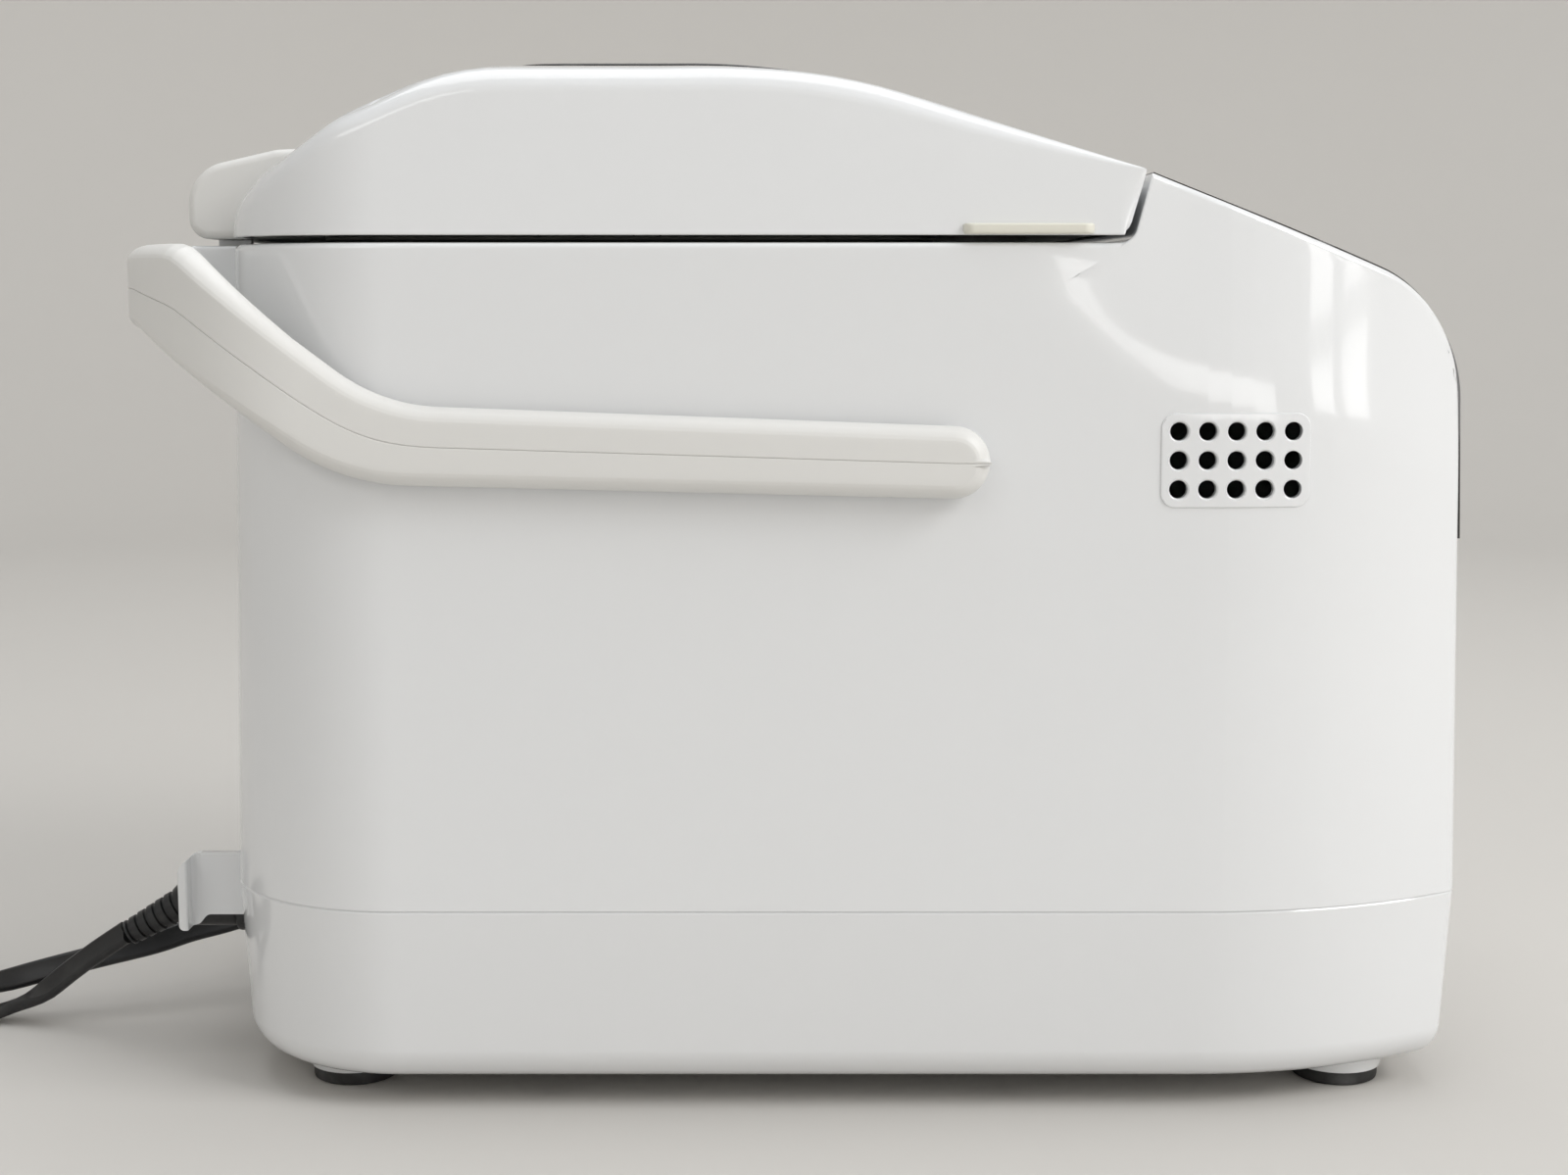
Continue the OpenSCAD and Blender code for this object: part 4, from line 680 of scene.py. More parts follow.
@dataclass(frozen=True)
class Glass(Finish):
    """Clear pane with faint smears in its gloss."""

    clear: float = 1.0

    def dress(self, shader: Shader) -> None:
        """Adds smears."""
        smears = shader.noise(35.0, 4.0)
        shader.set(Transmission_Weight=self.clear, IOR=1.45)
        shader.link("Roughness", self.roughness + smears * 0.04)
        shader.link("Base Color", shader.blend(smears, darker(self.colour, 0.95), self.colour))


@dataclass(frozen=True)
class Board(Finish):
    """A printed circuit board: tracks under solder resist."""

    track: tuple[float, float, float] = (0.16, 0.36, 0.17)

    def dress(self, shader: Shader) -> None:
        """Adds tracks."""
        cells = shader.node("ShaderNodeTexBrick", {"offset": 0.5},
                            {"Vector": shader.stretched((1.0, 0.7, 1.0)), "Scale": 110.0, "Mortar Size": 0.06,
                             "Mortar Smooth": 0.2, "Bias": 0.0})
        shader.link("Base Color", shader.blend(cells["Fac"], self.colour, self.track))
        shader.link("Roughness", self.roughness + cells["Fac"] * 0.1)
        shader.bump(cells["Fac"], 0.00004)


WHITE = MouldedPlastic("white_gloss", (0.80, 0.81, 0.82), 0.10, coat=0.5, skin=0.000003)
SATIN = MouldedPlastic("white_satin", (0.76, 0.755, 0.735), 0.36, skin=0.00001, grain=1400.0)
# The cream tint of the ivory slot is painted reflection: it stands for the warm floor light reflected on the lid
# frame's finger tab.
CREAM_PAINTED_REFLECTION = MouldedPlastic("ivory", (0.76, 0.745, 0.66), 0.33)
SMOKED = MouldedPlastic("smoked_gloss", (0.012, 0.010, 0.010), 0.08, coat=0.5, dust=0.02, skin=0.000003)
BLACK_PVC = Rubber("black_pvc", (0.012, 0.012, 0.013), 0.38, scuff=(0.03, 0.03, 0.03), grain=900.0)
BLACK_RUBBER = Rubber("black_rubber", (0.016, 0.016, 0.016), 0.6)
SILICONE = Rubber("silicone", (0.30, 0.30, 0.29), 0.55, scuff=(0.36, 0.36, 0.35))
BRIGHT = Metal("bright_steel", (0.74, 0.74, 0.74), 0.14, depth=0.000002)
FINISHES: dict[str, Finish] = {
    finish.slot: finish for finish in (
        WHITE, SATIN, CREAM_PAINTED_REFLECTION, SMOKED, BLACK_PVC, BLACK_RUBBER, SILICONE, BRIGHT,
        Glass("display_lens", (0.75, 0.8, 0.75), 0.04),
        MouldedPlastic("display", (0.20, 0.24, 0.17), 0.3),
        Glass("glass", (0.88, 0.94, 0.93), 0.03),
        Board("board_green", (0.02, 0.10, 0.035), 0.35, track=(0.05, 0.2, 0.07)),
        Board("board_tan", (0.28, 0.17, 0.06), 0.5, track=(0.36, 0.23, 0.09)),
        MouldedPlastic("key_grey", (0.38, 0.38, 0.375), 0.35),
        MouldedPlastic("key_orange", (0.62, 0.13, 0.03), 0.35),
        Metal("zinc_steel", (0.55, 0.56, 0.57), 0.34, grain=300.0),
        Metal("aluminium", (0.66, 0.66, 0.65), 0.3, stretch=(1.0, 1.0, 0.05)),
        Metal("cast_aluminium", (0.5, 0.5, 0.5), 0.5, grain=700.0, depth=0.00006),
        NonStick("nonstick", (0.022, 0.020, 0.020), 0.38),
        MouldedPlastic("rim_grey", (0.03, 0.03, 0.032), 0.42),
        Metal("heater_steel", (0.13, 0.11, 0.10), 0.42, stain=0.6),
        Metal("bronze", (0.46, 0.30, 0.11), 0.45, grain=900.0, depth=0.00003),
        MouldedPlastic("pulley_black", (0.015, 0.015, 0.015), 0.45),
        MouldedPlastic("fan_white", (0.62, 0.62, 0.58), 0.4),
        MouldedPlastic("capacitor", (0.03, 0.035, 0.05), 0.3),
    )}


# ---------------------------------------------------------------- the machine's forms


@dataclass(frozen=True)
class Cabinet:
    """The outlines that the cabinet and its console share."""

    half_w: float = cad_box("base_case")[1].x
    front_y: float = cad_box("base_case")[0].y
    depth: float = 360.0
    base_z: float = 8.0
    seam_z: float = cad_box("upper_body")[0].z
    deck_z: float = cad_box("baking_chamber")[1].z
    console_z: float = cad_box("upper_body")[1].z
    lid_z: float = cad_box("lid_shell")[0].z
    pan_y: float = sum(c.y for c in cad_box("baking_chamber")) / 2
    draft: float = math.tan(math.radians(1.2))
    slope: float = math.radians(21.4)
    nose_r: float = 40.0
    step_lean: float = math.tan(math.radians(15.8))
    lid_foot: float = 101.6
    lid_gap: float = 2.0
    wall: float = 2.5
    step_r: float = 5.0
    edge_r: float = 1.8
    step_edge_r: float = 0.6
    fold_start: tuple[float, float] = (-70.0, 223.5)
    fold_angle: float = math.radians(17.8)
    fold_lean: float = math.tan(math.radians(6.5))
    fold_half: float = 7.0

    @property
    def back_y(self) -> float:
        """The body's back at the seam."""
        return self.front_y + self.depth

    def lean(self, z: float) -> float:
        """How far the walls lean in at a height."""
        return (z - self.seam_z) * self.draft

    def plan(self) -> Outline:
        """The body's plan at the seam."""
        inboard = 24.5
        k = inboard / math.tan(math.radians(32))
        b = self.half_w - inboard
        return Outline(((b, self.front_y, 7.5), (self.half_w, self.front_y + k, 140),
                        (self.half_w, self.back_y, 54), (-self.half_w, self.back_y, 54),
                        (-self.half_w, self.front_y + k, 140), (-b, self.front_y, 7.5)))

    def lid_front_y(self, z: float) -> float:
        """The lid's front face at a height."""
        return self.front_y + self.lid_foot - (z - self.lid_z) * self.step_lean

    def step_y(self, z: float) -> float:
        """The face of the step behind the console at a height, one gap in front of the lid."""
        return self.lid_front_y(z) - self.lid_gap * math.hypot(1, self.step_lean)

    @property
    def nose_z(self) -> float:
        """Height at which the slope would meet the front."""
        m = math.tan(self.slope)
        run = self.step_y(self.console_z) - self.front_y
        return (self.console_z - m * run - m * self.draft * self.seam_z) / (1 - m * self.draft)

    def side(self) -> Outline:
        """The body's side outline."""
        z = self.seam_z
        return Outline(((self.front_y, z, 0), (self.back_y, z, 0),
                        (self.back_y - self.lean(self.deck_z), self.deck_z, 0),
                        (self.step_y(self.deck_z), self.deck_z, self.step_r),
                        (self.step_y(self.console_z), self.console_z, 0),
                        (self.front_y + self.lean(self.nose_z), self.nose_z, self.nose_r)))

    def shoulder(self, point: Vector) -> Vector:
        """Leans the sides in above the fold that runs down beside the console."""
        y0, z0 = self.fold_start
        above = (point.z - z0) * math.cos(self.fold_angle) - (point.y - y0) * math.sin(self.fold_angle)
        if above < -self.fold_half:
            return point
        if above < self.fold_half:
            lean = (above + self.fold_half) ** 2 / (4 * self.fold_half) * self.fold_lean
        else:
            lean = above * self.fold_lean
        fade = min(1.0, max(0.0, (y0 + 10 - point.y) / 50))
        fade = fade * fade * (3 - 2 * fade)
        point.x -= point.x / self.half_w * lean * fade
        return point

    def edge_width(self, point: Vector) -> float:
        """The rounding of the body's edges at a point: none at the seam, little along the step."""
        if point.z < self.seam_z + 9:
            return 0.0
        on_step = abs(point.y - self.step_y(point.z)) < 1.5
        return self.step_edge_r if on_step else self.edge_r

    def solid(self, grow: float = 0.0, step: float = 3.0, rounded: bool = False) -> Solid:
        """The body's whole form, grown by a distance.

        Args:
            grow: The distance outwards.
            step: The largest turn between two points of an arc, in degrees.
            rounded: Whether its top edges are rounded.

        Returns:
            The solid, with its shoulders leant in.
        """
        foot, top = self.seam_z, self.console_z + 10
        plan = self.plan()
        rings = [[Vector((x, y, z)) for x, y in plan.grown(grow - self.lean(z)).points(step)] for z in (foot, top)]
        side = Solid.prism(self.side().grown(grow), Axis.X, -self.half_w - 9, self.half_w + 9, step)
        form = Solid.loft(rings).within(side)
        if rounded:
            form.feathered(self.edge_width, 4, 20.0)
        form.sliced(Axis.Z, [self.deck_z - 90 + 5 * k for k in range(22)])
        return form.sliced(Axis.Y, [-150 + 6 * k for k in range(17)]).moved(self.shoulder)


BODY = Cabinet()


@dataclass(frozen=True)
class Studio:
    """Camera, floor, backdrop and lights."""

    lens: float = 54.0
    place: tuple[float, float, float] = (-0.761, 0.0029, 0.2339)
    pitch: float = 7.3

    def build(self) -> None:
        """Makes the camera first and then the stage and the lights."""
        self.camera()
        self.stage()
        self.lights()

    def camera(self) -> None:
        """The camera, square on to the machine's side and a little above it."""
        data = bpy.data.cameras.new("camera")
        data.lens = self.lens
        data.sensor_width = 36.0
        item = bpy.data.objects.new("camera", data)
        item.location = self.place
        item.rotation_euler = Euler((math.radians(90 - self.pitch), 0, math.radians(-90)))
        bpy.context.scene.collection.objects.link(item)
        bpy.context.scene.camera = item

    def stage(self) -> None:
        """A pale floor that curves up into a backdrop all round."""
        profile = [(0.0, 0.0), (1500.0, 0.0)]
        profile += [(1500 + 700 * math.sin(a), 700 - 700 * math.cos(a))
                    for a in (math.radians(9 * k) for k in range(1, 11))]
        profile += [(2200.0, 2600.0)]
        bowl = Solid.spun(profile, (0, 0, 0), (0, 0, 1), 96)
        mesh = bpy.data.meshes.new("floor")
        bmesh.ops.scale(bowl.bm, vec=(MM,) * 3, verts=bowl.bm.verts)
        bowl.bm.to_mesh(mesh)
        mesh.polygons.foreach_set("use_smooth", [True] * len(mesh.polygons))
        floor = bpy.data.objects.new("floor", mesh)
        bpy.context.scene.collection.objects.link(floor)
        shader = Shader("floor")
        shader.set(Base_Color=(0.62, 0.60, 0.57, 1.0), Roughness=0.6)
        shader.link("Roughness", shader.noise(6.0) * 0.1 + 0.55)
        floor.data.materials.append(shader.material)

    def lights(self) -> None:
        """A soft world, a broad key from the right, fills, and the window and door that the gloss reflects."""
        world = bpy.data.worlds.new("studio")
        world.use_nodes = True
        world.node_tree.nodes["Background"].inputs["Color"].default_value = (0.92, 0.96, 1.0, 1.0)
        world.node_tree.nodes["Background"].inputs["Strength"].default_value = 0.66
        bpy.context.scene.world = world
        self.lamp("key", (-0.9, -1.7, 1.5), (0.0, -0.05, 0.17), (1.1, 1.1), 28.0)
        self.lamp("fill", (-1.9, 1.2, 1.2), (0.0, 0.0, 0.15), (1.5, 1.2), 12.0)
        self.lamp("top", (0.3, 0.1, 2.0), (0.0, 0.0, 0.2), (1.6, 1.6), 13.0)
        self.lamp("door", (-1.514, -0.61, 0.33), (-0.11, -0.12, 0.20), (0.53, 0.17), 0.8)
        for row in range(2):
            for column in range(2):
                place = (-1.08 + 0.17 * column, -1.08 - 0.15 * column, 0.38 + 0.19 * row)
                self.lamp(f"pane_{row}_{column}", place, (-0.10, -0.16, 0.22), (0.15, 0.15), 0.22)

    @staticmethod
    def lamp(name: str, place: Sequence[float], target: Sequence[float], size: Point2, power: float) -> None:
        """A rectangular lamp that faces a target."""
        data = bpy.data.lights.new(name, "AREA")
        data.shape = "RECTANGLE"
        data.size, data.size_y = size
        data.energy = power
        item = bpy.data.objects.new(name, data)
        item.location = place
        item.rotation_euler = (Vector(target) - Vector(place)).to_track_quat("-Z", "Y").to_euler()
        bpy.context.scene.collection.objects.link(item)


@dataclass(frozen=True)
class MainsCord:
    """The flat twin cord, its coil and tie, its relief and its plug."""

    width: float = 7.6
    height: float = 3.8
    exit: tuple[float, float, float] = (0.0, 181.0, 27.0)
    coil: tuple[float, float] = (-8.0, 326.0)
    coil_mid: float = 42.0
    coil_half: float = 7.0
    turns: float = 3.5
    layers: tuple[float, float] = (2.7, 6.5)
    relief_tilt: float = 29.4
    relief_l: float = 21.8
    out: tuple[tuple[float, float, float], ...] = (
        (0, 181, 26.8), (-1, 189, 24.6), (-5, 199, 22.8), (-12, 209, 20.8), (-20, 226, 18.3), (-24, 241, 15.2),
        (-23, 256, 11), (-14, 271, 6.4), (3, 286, 3.2), (20, 300, 2.2), (31, 314, 2.4))
    back: tuple[tuple[float, float, float], ...] = (
        (-57, 330, 6.7), (-57, 312, 5.2), (-52, 294, 2.6), (-43, 277, 2.0), (-34, 262, 2.2), (-30.5, 252, 4.2),
        (-33, 240, 10.1), (-36, 228.5, 19), (-38.5, 220, 25.4), (-41, 210, 32.3))

    def build(self) -> None:
        """Builds the cord and what is on it."""
        relief = self.relief()
        plug = self.plug()
        tie = self.tie()
        path = self.path()
        tube = self.tube(path)
        length = sum((b - a).length for a, b in zip(path, path[1:])) * MM
        prongs = smooth_node("plug_prongs", 0.15)
        [p * MM for p in path]

    def path(self) -> list[Vector]:
        """The cord's centreline from its relief through its coil to its plug."""
        coil = []
        count = round(self.turns * 32)
        for k in range(1, count):
            share = k / count
            angle = share * self.turns * math.tau
            radius = self.coil_mid + self.coil_half * (abs(1 - 2 * share) * 2 - 1)
            rise = min(1.0, max(0.0, (share - 0.46) / 0.08))
            z = self.layers[0] + (self.layers[1] - self.layers[0]) * rise * rise * (3 - 2 * rise)
            coil.append(Vector((self.coil[0] + radius * math.cos(angle), self.coil[1] + radius * math.sin(angle), z)))
        knots = [Vector(p) for p in self.out] + coil + [Vector(p) for p in self.back[1:]]
        return smooth_path(knots, 4)

    def roll(self, place: Vector) -> float:
        """How far the cord's broad side is rolled up from the floor at a place."""
        share = max(0.0, min(1.0, (place.z - 4.5) / 9, (285 - place.y) / 15))
        return math.radians(-62) * share * share * (3 - 2 * share)

    def tube(self, path: Sequence[Vector]) -> bpy.types.Object:
        """The twin cord's skin: two round cores side by side."""
        core = self.height / 2
        offset = self.width / 2 - core
        section = []
        for side in (1, -1):
            section += [(side * (offset + core * math.cos(a)), side * core * math.sin(a))
                        for a in (math.radians(-74 + 148 * k / 8) for k in range(9))]
            section.append((0.0, side * core * 0.6))
        rings = []
        for k, place in enumerate(path):
            along = (path[min(k + 1, len(path) - 1)] - path[max(k - 1, 0)]).normalized()
            across = along.cross(Vector((0, 0, 1))).normalized()
            above = across.cross(along)
            turn = Matrix.Rotation(self.roll(place) * (1 if along.y > 0 else -1), 3, along)
            rings.append([place + turn @ (across * x + above * y) for x, y in section])
        return Solid.loft(rings).piece("cord", "body", BLACK_PVC, ["power_cord", "cord_coil", "cord_return"], 50.0)

    def relief(self) -> bpy.types.Object:
        """The tapered, ribbed relief at the back of the base."""
        back = BODY.back_y
        tip = self.exit[1]
        profile = [(0.0, -6.0), (8.5, -6.0), (8.5, -2.5), (6.5, -2.5), (6.5, 1.2)]
        ribs = 3
        for k in range(ribs):
            share = k / ribs
            radius = 6.5 - 2.0 * share
            y = 1.2 + (tip - back - 1.2) * share
            pitch = (tip - back - 1.2) / ribs
            profile += [(radius, y + pitch * 0.5), (radius - 0.9, y + pitch * 0.56), (radius - 0.9, y + pitch * 0.88),
                        (radius - 0.3, y + pitch * 0.95)]
        profile += [(4.4, tip - back), (0.0, tip - back)]
        solid = Solid.spun(profile, (0, back, self.exit[2]), (0, 1, 0), 40)
        return solid.piece("strain_relief", "body", BLACK_PVC, ["cord_relief"])

    def tie(self) -> bpy.types.Object:
        """The twist tie round the far side of the coil."""
        inner = self.coil_mid - 11.0
        path = Outline(((inner - 0.4, 0.25, 0.8), (inner + 22.4, 0.25, 0.8), (inner + 22.4, 9.0, 2.0),
                        (inner - 0.4, 9.0, 2.0)))
        x, y = self.coil
        strap = Solid.prism(path.grown(0.5), Axis.X, x - 3.5, x + 3.5)
        strap.cut(Solid.prism(path, Axis.X, x - 9, x + 9)).rounded(0.2, 2)
        knot = Solid.prism(Outline.rect(1.4, 1.0, 0.8, inner + 12, 10.2), Axis.X, x - 9, x + 9).rounded(0.5, 2)
        strap.joined(knot)
        strap.turned(Matrix.Translation((0, y, 0)))
        return strap.piece("cord_tie", "body", BLACK_PVC, ["coil_tie"])

    def plug(self) -> bpy.types.Object:
        """The moulded plug, parked in the back of the base, with its ribbed relief."""
        low, _ = cad_box("plug_body")
        x, z = -41.0, 43.0
        head = Solid.prism(Outline.rect(12, 8, 6, x, z), Axis.Y, low.y, low.y + 5).rounded(1.2, 3)
        grip = Solid.prism(Outline.rect(10.6, 6.8, 6, x, z), Axis.Y, low.y + 4, low.y + 22).rounded(2.2, 4)
        profile = [(0.0, -3.0), (5.8, -3.0), (5.8, 1.0)]
        ribs = 6
        pitch = (self.relief_l - 1.6) / ribs
        for k in range(ribs):
            radius = 5.3 - 0.22 * k
            start = 1.0 + pitch * k
            profile += [(radius, start + pitch * 0.5), (radius - 1.0, start + pitch * 0.56),
                        (radius - 1.0, start + pitch * 0.86), (radius - 0.25, start + pitch * 0.94)]
        profile += [(4.1, self.relief_l - 0.4), (3.9, self.relief_l), (0.0, self.relief_l)]
        tilt = Vector((0, math.cos(math.radians(self.relief_tilt)), -math.sin(math.radians(self.relief_tilt))))
        tail = Solid.spun(profile, (x, low.y + 22, z), tilt, 36)
        return head.joined(grip, tail).piece("plug", "body", BLACK_PVC, ["plug_body"])


def height_at(line: Sequence[Point2], place: float) -> float:
    """A rising or falling line's height at a place, run on straight past its ends.

    Args:
        line: Points of (place, height) in order of place.
        place: Where to read it.

    Returns:
        The height.
    """
    index = sum(1 for p in line[1:-1] if p[0] < place)
    (xa, ya), (xb, yb) = line[index], line[index + 1]
    return ya + (yb - ya) * (place - xa) / (xb - xa)


def spaced(points: Sequence[Point2], step: float) -> list[Vector]:
    """A closed outline with its long runs divided into equal steps.

    Args:
        points: The outline's points.
        step: The longest step.

    Returns:
        The denser outline.
    """
    found = []
    for index, (x, y) in enumerate(points):
        here, ahead = Vector((x, y)), Vector(points[(index + 1) % len(points)])
        count = max(1, math.ceil((ahead - here).length / step))
        found += [here.lerp(ahead, k / count) for k in range(count)]
    return found


def bent(start: Vector, bend: Vector, end: Vector, steps: int) -> list[Vector]:
    """A round turn from one point to another about the corner between them.

    Args:
        start: Where the turn starts.
        bend: The sharp corner that it rounds.
        end: Where the turn ends.
        steps: The number of steps.

    Returns:
        The points, both ends included.
    """
    pull = 1.0
    if (start - bend).length > 1e-6 and (end - bend).length > 1e-6:
        pull = math.sin((start - bend).angle(end - bend) / 2)
    found = []
    for k in range(steps + 1):
        t = k / steps
        a, b, c = (1 - t) ** 2, 2 * t * (1 - t) * pull, t * t
        found.append((start * a + bend * b + end * c) / (a + b + c))
    return found


@dataclass(frozen=True)
class Dome:
    """A closed form that rises from a foot by a leaning wall to a curved top, with rounded edges between."""

    plan: Sequence[Vector]
    foot: Callable[[float, float], float]
    top: Callable[[float, float], float]
    lean: Callable[[Vector], Vector]
    edge: Callable[[Vector], float]
    foot_edge: Callable[[Vector], float]
    rings: int = 22

    def rib(self, index: int) -> list[Vector]:
        """The line up the wall at one point of the plan, from the foot's rounding to the top's."""
        here = self.plan[index]
        run = (self.plan[(index + 1) % len(self.plan)] - self.plan[index - 1]).normalized()
        outward = Vector((run.y, -run.x))
        low = Vector((here.x, here.y, self.foot(here.x, here.y)))
        lean = self.lean(outward)
        high = low.copy()
        for _ in range(12):
            high.z = self.top(high.x, high.y)
            shift = lean * (high.z - low.z)
            high.x, high.y = here.x - shift.x, here.y - shift.y
        height = (high - low).length
        up = (high - low).normalized()
        inner = Vector((high.x - outward.x, high.y - outward.y, 0.0))
        inner.z = self.top(inner.x, inner.y)
        inward = (inner - high).normalized()
        reach = min(self.edge(high), 0.45 * height)
        under = min(self.foot_edge(low), 0.3 * height)
        flat = Vector((here.x - outward.x, here.y - outward.y, 0.0))
        flat.z = self.foot(flat.x, flat.y)
        line = bent(low + (flat - low).normalized() * under, low, low + up * under, 4)
        crest = bent(high - up * reach, high, high + inward * reach, 6)
        line += [line[-1].lerp(crest[0], k / 4) for k in range(1, 4)]
        return line + crest

    def solid(self) -> "Solid":
        """The form, its top and its foot drawn in to the middle of the plan."""
        ribs = [self.rib(k) for k in range(len(self.plan))]
        middle = sum(self.plan, Vector((0.0, 0.0))) / len(self.plan)

        def drawn(ring: Sequence[Vector], rule: Callable[[float, float], float]) -> list[list[Vector]]:
            """Rings from the middle out to a ring, laid on a surface."""
            found = []
            for k in range(1, self.rings):
                share = 1 - 0.96 * (1 - k / self.rings) ** 1.5
                spots = [middle.lerp(p.xy, share) for p in ring]
                found.append([Vector((p.x, p.y, rule(p.x, p.y))) for p in spots])
            return found

        rings = [list(ring) for ring in zip(*ribs)]
        return Solid.loft(drawn(rings[0], self.foot) + rings + drawn(rings[-1], self.top)[::-1])


def smooth_path(knots: Sequence[Vector], steps: int) -> list[Vector]:
    """A smooth curve through knots.

    Args:
        knots: The points that it passes through.
        steps: The number of steps between two knots.

    Returns:
        The curve's points.
    """
    path = []
    last = len(knots) - 1
    for k in range(last):
        before, start, end, after = knots[max(k - 1, 0)], knots[k], knots[k + 1], knots[min(k + 2, last)]
        for s in range(steps):
            t = s / steps
            path.append(0.5 * (2 * start + (end - before) * t + (2 * before - 5 * start + 4 * end - after) * t * t
                               + (3 * start - before - 3 * end + after) * t ** 3))
    path.append(knots[-1].copy())
    return path


def smooth_node(node: str, edge: float = 0.0, sharp: float = 40.0) -> bpy.types.Object:
    """A merged, smoothly shaded copy of a CAD node in the finish of its slot.

    Args:
        node: The CAD node.
        edge: The width of the rounding on its sharp edges.
        sharp: The angle above which an edge stays sharp, in degrees.

    Returns:
        The piece that stands for the node.
    """
    body = frame["nodes"][node]["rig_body"]
    slot = next(s["material_slot"] for s in frame["record"]["subparts"] if s["node"] == node)
    solid = Solid.from_node(node)
    if edge:
        solid.rounded(edge, 2, 45.0, clamp=True)
    return solid.piece(f"{node}_finished", body, FINISHES[slot], [node], sharp)


# ---------------------------------------------------------------- sub-assemblies


@dataclass(frozen=True)
class Base:
    """The base tray with its feet and cord hooks."""

    edge_r: float = 10.0
    lean: float = 3.0
    foot_x: float = 79.5
    foot_ys: tuple[float, float] = (-162.0, 131.0)
    hook_x: float = 58.0

    def build(self) -> None:
        """Builds the tray, its tongue and hooks, and the feet."""
        tray = self.tray()
        for part in (self.tongue(), self.hook(), self.hook().mirrored(), *self.bosses()):
            tray.joined(part)
        tray.piece("base_tray", "body", WHITE, ["base_case"])
        self.feet()

    def ring(self, z: float, inset: float) -> list[Vector]:
        """The tray's outline at a height."""
        share = (BODY.seam_z - z) / (BODY.seam_z - BODY.base_z)
        outline = BODY.plan().grown(-self.lean * share - inset)
        return [Vector((x, y, z)) for x, y in outline.points(3.0)]

    def tray(self) -> Solid:
        """The tray's shell with its vent slots, screw wells and cable hole."""
        r = self.edge_r
        curve = [math.radians(a) for a in (0, 12, 24, 36, 48, 60, 70, 80, 90)]
        seam = BODY.seam_z
        rings = [self.ring(BODY.base_z + r * (1 - math.cos(a)), r * (1 - math.sin(a))) for a in curve]
        rings += [self.ring(seam - 0.8, 0.0), self.ring(seam, 0.55)]
        outer = Solid.loft(rings)
        inner = Solid.loft([self.ring(BODY.base_z + 2.5, r), self.ring(BODY.base_z + 8, 4.0), self.ring(seam + 3, 3.0)])
        outer.cut(inner)
        slots = [Solid.prism(Outline.rect(1.5, 20, 1.4, (k - 3.5) * 9, -115), Axis.Z, 0, 18) for k in range(8)]
        wells = [Solid.prism(Outline.rect(4.2, 4.2, 4.15, s * 98, y), Axis.Z, 0, 16) for s in (-1, 1) for y in (-60, 70)]
        hole = Solid.prism(Outline.rect(6.5, 6.5, 6.4, 0, 27), Axis.Y, 150, 175)
        prongs = [Solid.box((-41 + s * 6.35 - 0.9, 150, 39.7), (-41 + s * 6.35 + 0.9, 175, 46.3)) for s in (-1, 1)]
        return outer.cut(*slots, *wells, hole, *prongs)

    def tongue(self) -> Solid:
        """The rear wall's tongue, which rises above the seam."""
        back, top = BODY.back_y, BODY.seam_z + 10
        wall = Solid.prism(Outline(((back - 3, BODY.seam_z - 4, 0), (back - 0.1, BODY.seam_z - 4, 0),
                                    (back - BODY.lean(top), top, 0), (back - 3, top, 0))), Axis.X, -68, 68)
        return wall.within(Solid.prism(BODY.plan(), Axis.Z, 0, 100, 3.0)).rounded(0.5, 2)

    def hook(self) -> Solid:
        """One J-shaped cord hook."""
        x, t = self.hook_x, 3.0
        y = BODY.back_y + 19
        root = BODY.back_y - 4
        low, high = BODY.seam_z - 15.7, BODY.seam_z + 3.5
        plan = Outline(((x, root, 0), (x + t, root, 0), (x + t, y - t, 2.5), (x + 11, y - t, 0.8), (x + 11, y, 1.2),
                        (x, y, 5.5)))
        side = Outline(((root, low, 0), (y - 7, low, 2.5), (y - 4.6, low - 3, 1.5), (y, low - 3, 2.0),
                        (y, high, 5.5), (root, high, 0)))
        hook = Solid.prism(plan, Axis.Z, low - 5, high + 1).within(Solid.prism(side, Axis.X, x - 1, x + 12))
        return hook.rounded(0.7, 3, 40.0, lambda e: min(v.co.y for v in e.verts) > root + 1, True)

    def bosses(self) -> list[Solid]:
        """The white bosses that the feet are set in."""
        profile = [(0, 11.0), (16.5, 11.0), (14.6, 9.0), (14.0, 8.0), (13.5, 5.0), (13.3, 4.2), (12.9, 4.0), (0, 4.0)]
        return [Solid.spun(profile, (s * self.foot_x, y, 0), (0, 0, 1), 48) for s in (-1, 1) for y in self.foot_ys]

    def feet(self) -> None:
        """The four rubber feet, each with a recess and a rounded rim."""
        profile = [(0, 2.0), (4.2, 2.0), (4.2, 0.3), (4.5, 0.0), (11.6, 0.0), (12.3, 0.4), (12.5, 1.2), (12.5, 3.2),
                   (12.2, 3.8), (11.8, 4.0), (0, 4.0)]
        feet = Solid()
        for s in (-1, 1):
            for y in self.foot_ys:
                feet.joined(Solid.spun(profile, (s * self.foot_x, y, 0), (0, 0, 1), 48))
        feet.piece("feet", "body", BLACK_RUBBER, ["rubber_feet"])


